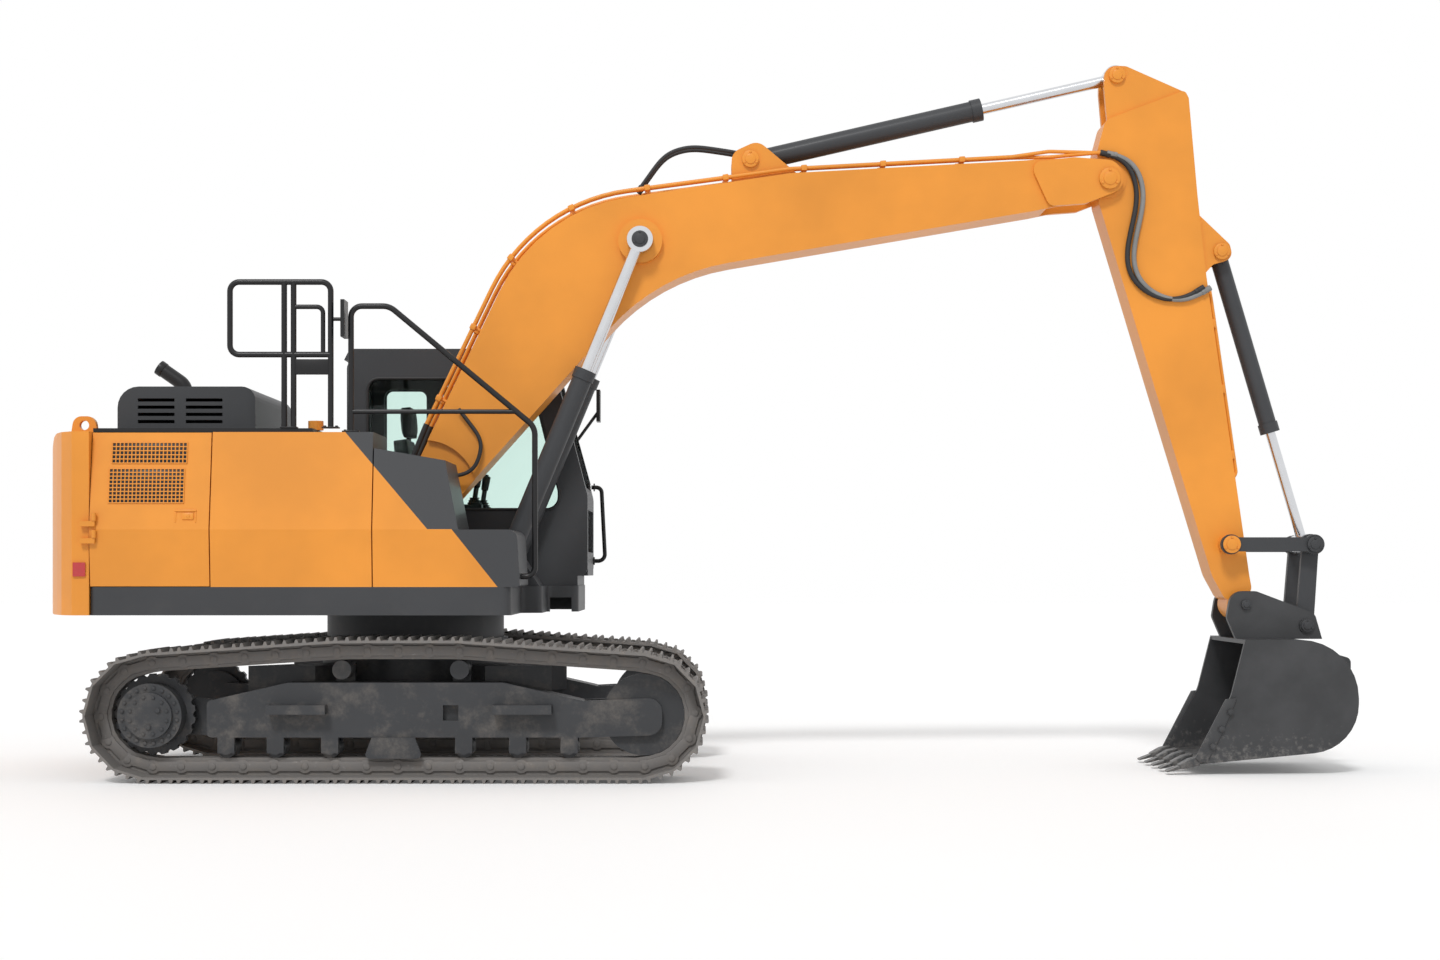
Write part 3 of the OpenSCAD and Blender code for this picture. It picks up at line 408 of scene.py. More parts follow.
def bent(corners, steps=9):
    """Points along a line whose corners are rounded, each given as its place and radius."""
    path = []
    for index, (place, radius) in enumerate(corners):
        if radius == 0:
            path.append(place)
            continue
        back = (corners[index - 1][0] - place).normalized()
        ahead = (corners[index + 1][0] - place).normalized()
        half = back.angle(ahead) / 2
        centre = place + (back + ahead).normalized() * (radius / math.sin(half))
        first = place + back * (radius / math.tan(half)) - centre
        last = place + ahead * (radius / math.tan(half)) - centre
        swing = first.angle(last)
        axle = first.cross(last)
        path += [centre + Matrix.Rotation(swing * step / steps, 3, axle) @ first
                 for step in range(steps + 1)]
    return path


def at_length(path, spans, left):
    """The point at some length along a path, whose steps' lengths are given."""
    span = 0
    while span < len(spans) - 1 and left > spans[span]:
        left -= spans[span]
        span += 1
    return path[span].lerp(path[span + 1], min(1.0, left / spans[span]))


def relaxed(path, count=56, passes=24):
    """The same line in even steps, with its kinks eased out between its fixed ends."""
    spans = [(there - here).length for here, there in zip(path, path[1:])]
    even = [at_length(path, spans, sum(spans) * step / (count - 1)) for step in range(count)]
    for _ in range(passes):
        even[1:-1] = [(back + here * 2 + ahead) / 4
                      for back, here, ahead in zip(even, even[1:], even[2:])]
    return even


def show(name, data):
    """Adds an object with its data to the scene."""
    shown = bpy.data.objects.new(name, data)
    bpy.context.scene.collection.objects.link(shown)
    return shown


def to_mesh(name, shape):
    """Turns a bmesh into a mesh and frees it."""
    mesh = bpy.data.meshes.new(name)
    shape.to_mesh(mesh)
    shape.free()
    return mesh


def finish_piece(name, shape, finish, body=None):
    """Turns a bmesh into a piece of the object, which rides on a body if one is given."""
    bmesh.ops.recalc_face_normals(shape, faces=shape.faces)
    mesh = to_mesh(name, shape)
    piece = show(name, mesh)
    mesh.materials.append(FINISHES[finish])
    mesh.shade_smooth()
    mesh.set_sharp_from_angle(angle=SHARP_FOLD)
    if body:
        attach(piece, body)
    return piece


def soften(shape, verts, bevel, least=1.2):
    """Bevels the edges among some vertices that fold by more than the least angle."""
    found = dict.fromkeys(edge for vert in verts for edge in vert.link_edges)
    edges = [edge for edge in found if edge.calc_face_angle(0.0) > least]
    bmesh.ops.bevel(shape, geom=edges, offset=bevel, segments=2, profile=0.5, affect="EDGES",
                    material=-1)


def add_block(shape, low, high, bevel=0.0, turn=None):
    """Adds a box with softened edges between two corners, turned about its middle."""
    middle = (low + high) / 2
    made = bmesh.ops.create_cube(shape, size=1.0)["verts"]
    bmesh.ops.scale(shape, vec=high - low, verts=made)
    if turn:
        bmesh.ops.rotate(shape, cent=(0, 0, 0), matrix=turn, verts=made)
    bmesh.ops.translate(shape, vec=middle, verts=made)
    if bevel:
        soften(shape, made, bevel)


def add_disc(shape, centre, axis, radius, depth, segments, bevel=0.0, top=None):
    """Adds a round, tapered or many-sided disc about an axis, with its rims softened."""
    made = bmesh.ops.create_cone(shape, cap_ends=True, segments=segments, radius1=radius,
                                 radius2=radius if top is None else top, depth=depth)["verts"]
    bmesh.ops.rotate(shape, cent=(0, 0, 0), verts=made,
                     matrix=UP.rotation_difference(Vector(axis)).to_matrix())
    bmesh.ops.translate(shape, vec=centre, verts=made)
    if bevel:
        soften(shape, made, bevel)


def add_bolt(shape, seat, axis, size):
    """Adds a hexagon bolt's head on its washer, standing on a seat."""
    axis = Vector(axis)
    add_disc(shape, seat + axis * size * 0.1, axis, size * 1.3, size * 0.2, 16)
    add_disc(shape, seat + axis * size * 0.5, axis, size, size * 0.7, 6, size * 0.12)


def add_tube(shape, points, radius, closed=False, fine=4):
    """Adds a round tube swept along points."""
    add_tubes(shape, [points], radius, closed, fine)


def add_tubes(shape, lines, radius, closed=False, fine=4):
    """Adds a round tube along each of several lines of points, in one sweep."""
    curve = bpy.data.curves.new("path", "CURVE")
    curve.dimensions = "3D"
    curve.bevel_depth = radius
    curve.bevel_resolution = fine
    curve.use_fill_caps = not closed
    for points in lines:
        line = curve.splines.new("POLY")
        line.points.add(len(points) - 1)
        for point, place in zip(line.points, points):
            point.co = (*place, 1.0)
        line.use_cyclic_u = closed
    holder = show("path", curve)
    bpy.context.view_layer.update()
    solid = holder.evaluated_get(bpy.context.evaluated_depsgraph_get())
    swept = bpy.data.meshes.new_from_object(solid)
    shape.from_mesh(swept)
    bpy.data.meshes.remove(swept)
    bpy.data.objects.remove(holder)
    bpy.data.curves.remove(curve)


def add_plate(shape, outline, depth, bevel=0.0):
    """Adds a flat plate: an outline of points, drawn out by a depth."""
    rim = [shape.verts.new(point) for point in outline]
    face = bmesh.ops.contextual_create(shape, geom=rim)["faces"]
    drawn = bmesh.ops.extrude_face_region(shape, geom=face, use_keep_orig=True)["geom"]
    moved = [part for part in drawn if isinstance(part, bmesh.types.BMVert)]
    bmesh.ops.translate(shape, vec=depth, verts=moved)
    if bevel:
        bmesh.ops.recalc_face_normals(shape, faces=shape.faces)
        soften(shape, rim + moved, bevel, 0.6)


class EXCAVATOR_OT_seat(bpy.types.Operator):
    """Upholsters the operator's seat"""

    bl_idname = "excavator.seat"
    bl_label = "Upholster the Seat"

    def execute(self, context):
        seat = context.scene.excavator_seat
        low, high = (Vector(corner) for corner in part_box("operator_seat"))
        middle = (low.y + high.y) / 2
        half = (high.y - low.y) / 2
        plate_top = low.z + 0.05
        base_top = low.z + 0.308
        fold_rise = 0.036
        for name, lean, near, far in (
                ("seat_cushion", 0.0, spot(-0.1, middle - half, base_top),
                 spot(0.39, middle + half, base_top + seat.cushion_height)),
                ("seat_back", -0.14, spot(-0.165, middle - half, base_top + 0.13),
                 spot(-0.045, middle + half, high.z - 0.245)),
                ("seat_headrest", -0.08, spot(-0.18, middle - 0.13, high.z - 0.225),
                 spot(-0.09, middle + 0.13, high.z - 0.01))):
            pad = self.cushion(seat, near, far, name, lean)
        base = bmesh.new()
        add_block(base, spot(-0.055, middle - 0.195, low.z),
                  spot(0.325, middle + 0.195, plate_top), 0.008)
        for fold in range(6):
            foot = plate_top + fold * fold_rise
            inset = 0.018 if fold % 2 else 0.0
            add_block(base, spot(-0.05 + inset, middle - 0.185 + inset, foot),
                      spot(0.315 - inset, middle + 0.185 - inset, foot + fold_rise), 0.012)
        add_block(base, spot(-0.07, middle - 0.2, low.z + 0.266),
                  spot(0.33, middle + 0.2, base_top), 0.006)
        for side in SIDES:
            add_block(base, spot(-0.155, middle + side * 0.05 - 0.008, high.z - 0.27),
                      spot(-0.135, middle + side * 0.05 + 0.008, high.z - 0.2), 0.003)
        stand = finish_piece("seat_suspension", base, "hose_rubber", "house")
        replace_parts(stand, "operator_seat")
        return {"FINISHED"}

    def cushion(self, seat, low, high, name, lean):
        """One crowned pad with pulled-in sides and a sewn channel on each side."""
        shape = bmesh.new()
        add_block(shape, low, high)
        bmesh.ops.subdivide_edges(shape, edges=shape.edges[:], cuts=11, use_grid_fill=True)
        centre = (low + high) / 2
        half = (high - low) / 2
        thin = min(range(3), key=lambda axis: half[axis])
        wide = [axis for axis in range(3) if axis != thin]
        for vert in shape.verts:
            spread = [abs(vert.co[axis] - centre[axis]) / half[axis] for axis in wide]
            dome = (1 - spread[0] ** 4) * (1 - spread[1] ** 4)
            channel = math.exp(-((abs(vert.co.y - centre.y) / half.y - 0.62) / 0.07) ** 2)
            side = (vert.co[thin] - centre[thin]) / half[thin]
            vert.co[thin] += side * (seat.crown * (dome - 0.55) - 0.01 * channel * dome)
        bmesh.ops.rotate(shape, cent=(centre.x, centre.y, low.z), verts=shape.verts,
                         matrix=Matrix.Rotation(lean, 3, "Y"))
        pad = finish_piece(name, shape, "seat_fabric", "house")
        rounding = pad.modifiers.new("Rounding", "SUBSURF")
        rounding.levels = rounding.render_levels = 2
        return pad


class EXCAVATOR_OT_rails(bpy.types.Operator):
    """Bends the guard rails and the exhaust pipe"""

    bl_idname = "excavator.rails"
    bl_label = "Bend the Rails"

    def execute(self, context):
        radius = context.scene.excavator_lines.rail
        self.rear(radius)
        self.front(radius)
        self.cab(radius * 0.8)
        self.exhaust()
        return {"FINISHED"}

    def rail(self, shape, corners, y, radius):
        """One bent tube in a plane across the machine, its corners given as x, z and radius."""
        add_tube(shape, bent(in_plane(y, corners)), radius)

    def foot(self, shape, x, y, z):
        """A rail's welded foot plate with its two bolts."""
        add_block(shape, spot(x - 0.055, y - 0.035, z),
                  spot(x + 0.055, y + 0.035, z + 0.01), 0.003)
        for side in SIDES:
            add_bolt(shape, spot(x + side * 0.038, y, z + 0.01), UP, 0.01)

    def rear(self, radius):
        y = -1.105
        top = 3.241
        middle = 2.77
        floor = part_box("rear_rails")[0].z
        shape = bmesh.new()
        self.rail(shape, [(-0.42, floor, 0), (-0.42, top, 0.06), (-1.074, top, 0.06),
                          (-1.074, middle, 0.06), (-0.421, middle, 0)], y, radius)
        self.rail(shape, [(-0.661, 3.08, 0), (-0.47, 3.08, 0.04), (-0.47, middle, 0)],
                  y, radius * 0.8)
        for x in (-0.661, -0.722):
            add_tube(shape, [spot(x, y, floor), spot(x, y, top)], radius)
        add_block(shape, spot(-0.65, y - 0.012, 2.64), spot(-0.43, y + 0.012, 2.74), 0.004)
        for x in (-0.42, -0.69):
            self.foot(shape, x, y, floor)
        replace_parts(finish_piece("rear_rail_tubes", shape, "black_paint", "house"), "rear_rails")

    def front(self, radius):
        y = -1.1
        post = -0.289
        deck = 2.2655
        shape = bmesh.new()
        self.rail(shape, [(post, deck, 0), (post, 3.085, 0.07), (-0.04, 3.085, 0.12),
                          (0.905, 2.3, 0.11), (0.905, 1.33, 0.06), (0.8145, 1.33, 0)],
                  y, radius)
        add_tube(shape, [spot(post, y, 2.4), spot(0.785, y, 2.4)], radius * 0.8)
        self.foot(shape, post, y, deck)
        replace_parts(finish_piece("front_handrail_tubes", shape, "black_paint", "house"),
                    "front_handrail")

    def cab(self, radius):
        y = 1.205
        top = 1.99
        foot = 1.44
        shape = bmesh.new()
        self.rail(shape, [(1.165, top, 0), (1.24, top, 0.04), (1.268, foot, 0.05),
                          (1.1805, foot, 0)], y, radius)
        for z in (top, foot):
            add_disc(shape, spot(1.186, y, z), (1, 0, 0), 0.03, 0.01, 24, 0.003)
        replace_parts(finish_piece("cab_rail_tube", shape, "black_paint", "house"), "cab_rail")

    def exhaust(self):
        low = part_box("exhaust_stack")[0]
        foot = spot(-1.79, 0.85, low.z)
        slope = math.radians(55)
        lean = Vector((-math.sin(slope), 0, math.cos(slope)))
        elbow = foot + UP * 0.43
        mouth = elbow + lean * 0.24
        shape = bmesh.new()
        add_tube(shape, bent([(foot, 0), (elbow, 0.1), (mouth - lean * 0.044, 0)]), 0.052, fine=8)
        # Foot flange, clamp and the sleeve that the mouth is sunk into
        add_disc(shape, foot + UP * 0.01, UP, 0.08, 0.02, 40, 0.004)
        add_disc(shape, foot + UP * 0.235, UP, 0.058, 0.028, 40, 0.005)
        add_disc(shape, mouth - lean * 0.022, lean, 0.056, 0.05, 40, 0.005)
        bore = max(shape.faces, key=lambda face: face.calc_center_median().dot(lean))
        bmesh.ops.inset_region(shape, faces=[bore], thickness=0.006)
        bmesh.ops.translate(shape, vec=-lean * 0.045, verts=bore.verts[:])
        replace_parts(finish_piece("exhaust_pipe", shape, "black_paint", "house"), "exhaust_stack")


class EXCAVATOR_OT_lines(bpy.types.Operator):
    """Lays the hydraulic hoses and pipes along the digging gear"""

    bl_idname = "excavator.lines"
    bl_label = "Lay the Hoses and Pipes"

    # The pipes on the boom: along it, square to it and bend
    run = [(0.207, 0.425, 0), (1.501, 1.497, 1.21), (3.201, 0.978, 0.33), (4.62, 0.418, 0.25)]
    # The hoses over the arm's pin: along the arm, square to it and bend
    loop = [(-0.186, 0.024, 0), (-0.098, 0.2, 0.09), (0.155, 0.2, 0.15), (0.7, -0.124, 0.26),
            (0.975, 0.206, 0.2), (0.907, 0.424, 0)]
    loop_y = 0.171
    # Place across the boom of each pipe, and the height of its hose over the loop's middle
    pairs = ((0.118, -0.021), (0.16, 0.021))

    def execute(self, context):
        sizes = context.scene.excavator_lines
        self.boom_pipes(sizes.pipe)
        self.arm_hoses(sizes.hose)
        self.foot_hoses(sizes.hose)
        self.cylinder_hoses(sizes.hose * 0.8)
        self.arm_pipes(sizes.pipe)
        return {"FINISHED"}

    def boom_pipes(self, radius):
        """Steel pipes on saddles along the boom's top, from its foot to the hoses at its tip."""
        shape = bmesh.new()
        for side in SIDES:
            for y, lift in self.pairs:
                corners = on_link(BOOM, side * y, self.run)
                corners += [(along(BOOM, 4.86, 0.325 + lift, side * self.loop_y), 0.2),
                            self.loop_corners(side, lift)[0]]
                add_tube(shape, bent(corners, 14), radius)
            middle = on_link(BOOM, side * 0.139, self.run)
            middle[-1] = (middle[-1][0], 0)
            spread = relaxed(bent(middle, 14), 100, 0)
            for index in range(4, 98, 11):
                self.saddle(shape, spread[index], spread[index + 1] - spread[index])
        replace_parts(finish_piece("boom_pipe_run", shape, "orange_paint", "boom"), "boom_pipes")

    def saddle(self, shape, centre, ahead):
        """A clamp round a pair of pipes, on its stud."""
        turn = Matrix.Rotation(-math.atan2(ahead.z, ahead.x), 3, "Y")
        reach = Vector((0.02, 0.044, 0.019))
        add_block(shape, centre - reach, centre + reach, 0.005, turn=turn)
        down = turn @ Vector((0, 0, -1))
        add_disc(shape, centre + down * 0.035, down, 0.012, 0.052, 12)

    def loop_corners(self, side, lift):
        """The corners of one hose's loop over the arm's pin."""
        raised = [(u + lift * 0.4, v + lift, bend) for u, v, bend in self.loop]
        return on_link(ARM, side * self.loop_y, raised)

    def arm_hoses(self, radius):
        """Two hoses a side in an S from the boom's tip over the arm's pin."""
        kinds = (("arm_hoses_inner", "hose_rubber"), ("arm_hoses_outer", "hose_guard"))
        for (_, lift), (name, finish) in zip(self.pairs, kinds):
            shape = bmesh.new()
            for side in SIDES:
                path = relaxed(bent(self.loop_corners(side, lift), 12))
                add_tube(shape, path, radius)
                for end, ahead in ((path[0], path[2]), (path[-1], path[-3])):
                    axis = (ahead - end).normalized()
                    add_disc(shape, end + axis * 0.025, axis, radius * 1.2, 0.05, 20, 0.003)
                    add_disc(shape, end + axis * 0.06, axis, radius * 1.35, 0.022, 6, 0.002)
            piece = finish_piece(name, shape, finish)
            along(ARM, -0.12, 0.1)
            along(ARM, 0.6, 0.1)
            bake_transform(piece)
            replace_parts(piece, "arm_hoses")

    def foot_hoses(self, radius):
        """Hoses that loop from the deck to the boom's pipes, and one on each side of its foot."""
        rear = [(-0.53, 2.06, 0), (-0.33, 2.06, 0.1), (-0.06, 1.975, 0.16)]
        loop = [(0.33, 2.47, 0), (0.5, 2.25, 0.12), (0.44, 2.03, 0.13), (0.19, 2.0, 0)]
        shape = bmesh.new()
        for side in SIDES:
            for y, _ in self.pairs:
                corners = in_plane(BOOM_Y + side * y, rear)
                corners.append((along(BOOM, *self.run[0][:2], side * y), 0))
                add_tube(shape, relaxed(bent(corners, 12)), radius)
            add_tube(shape, relaxed(bent(in_plane(BOOM_Y + side * 0.232, loop))), radius * 0.8)
        piece = finish_piece("boom_foot_hoses", shape, "hose_rubber")
        spot(-0.25, BOOM_Y, 2.05)
        along(BOOM, 0.2, 0.36)
        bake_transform(piece)

    def cylinder_hoses(self, radius):
        """A loop from the pipes to the arm cylinder's base, one a side."""
        loop = [(1.562, 4.001, 0), (1.735, 4.244, 0.16), (1.908, 4.299, 0.3),
                (2.185, 4.258, 0.3), (2.371, 4.223, 0)]
        shape = bmesh.new()
        for side in SIDES:
            path = relaxed(bent(in_plane(BOOM_Y + side * 0.06, loop)))
            add_tube(shape, path, radius)
            for end, ahead in ((path[0], path[1]), (path[-1], path[-2])):
                add_disc(shape, end, ahead - end, radius * 1.4, 0.04, 6, 0.002)
        finish_piece("arm_cylinder_hoses", shape, "hose_rubber", "boom")

    def arm_pipes(self, radius):
        """Pipes down the arm's back to the bucket cylinder's ports, on their clamps."""
        drop = [(0.905, 0.452, 0), (1.01, 0.437, 0.05), (2.18, 0.243, 0.05), (2.215, 0.205, 0)]
        reach = Vector((0.022, 0.03, 0.03))
        shape = bmesh.new()
        for side in SIDES:
            y = side * 0.105
            add_tube(shape, bent(on_link(ARM, y, drop)), radius * 0.9)
            for u in (1.15, 1.6, 2.05):
                centre = along(ARM, u, 0.446 - (u - 0.83) * 0.1663, y)
                add_block(shape, centre - reach, centre + reach, 0.006)
        finish_piece("arm_pipe_run", shape, "orange_paint", "arm")


class EXCAVATOR_OT_pins(bpy.types.Operator):
    """Fits collars, caps and keeper bolts to the ends of the pins"""

    bl_idname = "excavator.pins"
    bl_label = "Cap the Pins"

    # Name, finish, body and pins of each piece. A pin is given as x, z, the distance of its ends
    # from the boom's plane, and the caps' radius.
    sets = (
        ("house_pin_caps", "grey_paint", "house",
         [(*BOOM[0], 0.228, 0.07), (0.65, 1.4, 0.352, 0.062)]),
        ("boom_pin_caps", "orange_paint", "boom",
         [(*ARM[0], 0.23, 0.072), (2.3233, 4.1928, 0.142, 0.058)]),
        ("boom_rod_pin_caps", "grey_paint", "boom_cylinder_rods", [(1.5696, 3.6168, 0.337, 0.056)]),
        ("arm_pin_caps", "orange_paint", "arm",
         [(4.8384, 4.7689, 0.142, 0.056), (5.5571, 3.5585, 0.142, 0.056),
          (5.587, 1.5462, 0.311, 0.06)]),
        ("guide_pin_caps", "grey_paint", "guide_links", [(6.152, 1.5462, 0.311, 0.052)]),
        ("bucket_pin_caps", "grey_paint", "bucket",
         [(*BUCKET[0], 0.265, 0.034), (6.1111, 0.9931, 0.267, 0.044)]),
    )

    def execute(self, context):
        for piece in self.sets:
            self.caps(*piece)
        return {"FINISHED"}

    def caps(self, name, finish, body, pins):
        """Both ends of each of some pins."""
        shape = bmesh.new()
        for x, z, reach, radius in pins:
            for side in SIDES:
                out = Vector((0, side, 0))
                seat = spot(x, BOOM_Y + side * reach, z)
                add_disc(shape, seat + out * 0.006, out, radius, 0.012, 40, 0.003)
                add_disc(shape, seat + out * 0.015, out, radius * 0.62, 0.008, 32, 0.003)
                for step in range(3):
                    turn = math.radians(90 + 120 * step)
                    round_pin = Vector((math.cos(turn), 0, math.sin(turn))) * radius * 0.8
                    add_bolt(shape, seat + out * 0.012 + round_pin, out, radius * 0.13)
        finish_piece(name, shape, finish, body)


class EXCAVATOR_OT_tracks(bpy.types.Operator):
    """Bolts the shoes to their links and the final drives to their hubs"""

    bl_idname = "excavator.tracks"
    bl_label = "Bolt the Tracks"

    shoes = 44
    gauge = 1.99
    # The shoes' inner line: its radius round the wheels and its height on the carrier rollers
    wheel = 0.39
    carrier_top = 0.902

    def execute(self, context):
        pins = self.shoe_pins()
        pitch = sum((there - here).length for here, there in zip(pins, pins[1:])) / (len(pins) - 1)
        shoe = self.shoe(pitch)
        for side, name in zip(SIDES, ("right", "left")):
            shape = bmesh.new()
            for here, there in zip(pins, pins[1:] + pins[:1]):
                step = there - here
                turn = Matrix.Rotation(-math.atan2(step.y, step.x), 4, "Y")
                place = Matrix.Translation(spot(here.x, side * self.gauge / 2, here.y)) @ turn
                shoe.transform(place)
                shape.from_mesh(shoe)
                shoe.transform(place.inverted())
            finish_piece("track_bolts_" + name, shape, "track_steel", "undercarriage")
        bpy.data.meshes.remove(shoe)
        shape = bmesh.new()
        for side in SIDES:
            self.drive(shape, side)
        finish_piece("final_drive_bolts", shape, "grey_paint", "undercarriage")
        return {"FINISHED"}

    def shoe_pins(self):
        """The ends of the shoes along their inner line, as x and z from the swing axis."""
        line = self.arc(SPROCKET, 268, 91)
        line += [Vector((x, self.carrier_top)) for x in (-0.353, 0.413)]
        line += self.arc(IDLER, 88, -89)
        line.append(line[0])
        spans = [(there - here).length for here, there in zip(line, line[1:])]
        return [at_length(line, spans, shoe * sum(spans) / self.shoes)
                for shoe in range(self.shoes)]

    def arc(self, centre, first, last):
        """Points round a wheel from one angle down to another, in degrees."""
        x, z = centre
        turns = [math.radians(angle) for angle in range(first, last, -8)]
        return [Vector((x + self.wheel * math.cos(turn), z + self.wheel * math.sin(turn)))
                for turn in turns]

    def shoe(self, pitch):
        """One shoe's four bolts, its two links and the heads of their pin, along X from the pin."""
        shape = bmesh.new()
        for share in (0.31, 0.68):
            for across in (-0.055, 0.055):
                add_bolt(shape, Vector((pitch * share, across, 0.016)), UP, 0.013)
        reach = Vector((pitch * 0.42, 0.007, 0.034))
        for side in SIDES:
            centre = Vector((pitch / 2, side * 0.0925, -0.055))
            add_block(shape, centre - reach, centre + reach, 0.008)
            out = (0, side, 0)
            add_disc(shape, Vector((0, side * 0.092, -0.055)), out, 0.046, 0.013, 20, 0.003)
            add_disc(shape, Vector((0, side * 0.101, -0.055)), out, 0.022, 0.008, 16, 0.002)
        return to_mesh("shoe", shape)

    def drive(self, shape, side):
        """Rings of bolts on a final drive's two covers, with its drain and level plugs."""
        hub_x, hub_z = SPROCKET
        cover = 1.21
        for reach, ring, count, size in ((1.18, 0.18, 20, 0.012), (cover, 0.122, 12, 0.011)):
            for step in range(count):
                turn = 2 * math.pi * (step + 0.5) / count
                place = spot(hub_x + ring * math.cos(turn), side * reach,
                             hub_z + ring * math.sin(turn))
                add_bolt(shape, place, (0, side, 0), size)
        for x, z in ((0.0, -0.072), (0.062, 0.036)):
            add_bolt(shape, spot(hub_x + x, side * cover, hub_z + z), (0, side, 0), 0.017)


class EXCAVATOR_OT_panels(bpy.types.Operator):
    """Fills the rear door's grilles with mesh and fits its latch"""

    bl_idname = "excavator.panels"
    bl_label = "Fit the Panels"

    mesh_step = 0.026

    def execute(self, context):
        lean = Matrix.Rotation(-math.atan(PANEL_LEAN), 3, "X")
        self.grilles(lean)
        self.latch(lean)
        return {"FINISHED"}

    def grilles(self, lean):
        """Wire mesh in the door's two grilles, over a black sheet that is painted shade for the dark
        space behind the mesh.
        """
        mesh = bmesh.new()
        back = bmesh.new()
        for x0, x1, z0, z1 in ((-1.822, -1.338, 2.062, 2.196), (-1.835, -1.351, 1.804, 2.026)):
            wires = [[spot(x, self.face(z) - 0.004, z) for z in (z0, z1)]
                     for x in self.bars(x0, x1)]
            wires += [[spot(x, self.face(z) - 0.004, z) for x in (x0, x1)]
                      for z in self.bars(z0, z1)]
            add_tubes(mesh, wires, 0.0042, fine=1)
            middle = spot((x0 + x1) / 2, self.face((z0 + z1) / 2), (z0 + z1) / 2)
            reach = Vector(((x1 - x0) / 2, 0.002, (z1 - z0) / 2 + 0.002))
            # A black sheet filling each grille under its mesh: painted shade for the dark space
            # behind it
            add_block(back, middle - reach, middle + reach, 0.001, turn=lean)
        finish_piece("grille_mesh", mesh, "orange_paint", "right_rear_door")
        # The black sheets are painted shade, standing for the dark space behind the grilles
        finish_piece("grille_shade_sheet", back, "black_paint", "right_rear_door")

    def bars(self, low, high):
        """The places of the mesh's bars from one side of a grille to the other."""
        count = round((high - low) / self.mesh_step)
        return [low + (high - low) * bar / count for bar in range(count + 1)]

    def latch(self, lean):
        """The door's latch: a rim of four strips, its paddle and lock."""
        height = 1.718
        wide, tall, thick = 0.07, 0.042, 0.004
        middle = spot(-1.335, self.face(height), height)
        shape = bmesh.new()
        for low, high in (((-wide, -thick, 0.03), (wide, thick, tall)),
                          ((-wide, -thick, -tall), (wide, thick, -0.03)),
                          ((-wide, -thick, -tall), (-0.06, thick, tall)),
                          ((0.06, -thick, -tall), (wide, thick, tall)),
                          ((-0.02, -0.009, -0.022), (0.052, 0.003, 0.022))):
            add_block(shape, middle + Vector(low), middle + Vector(high), 0.003, turn=lean)
        add_disc(shape, middle + Vector((0.018, -0.01, 0)), (0, -1, 0), 0.012, 0.006, 20, 0.002)
        finish_piece("door_latch", shape, "orange_paint", "right_rear_door")

    def face(self, z):
        """How far out the leaning upper panel stands at a height."""
        return PANEL_Y + max(0.0, z - PANEL_KNEE) * PANEL_LEAN


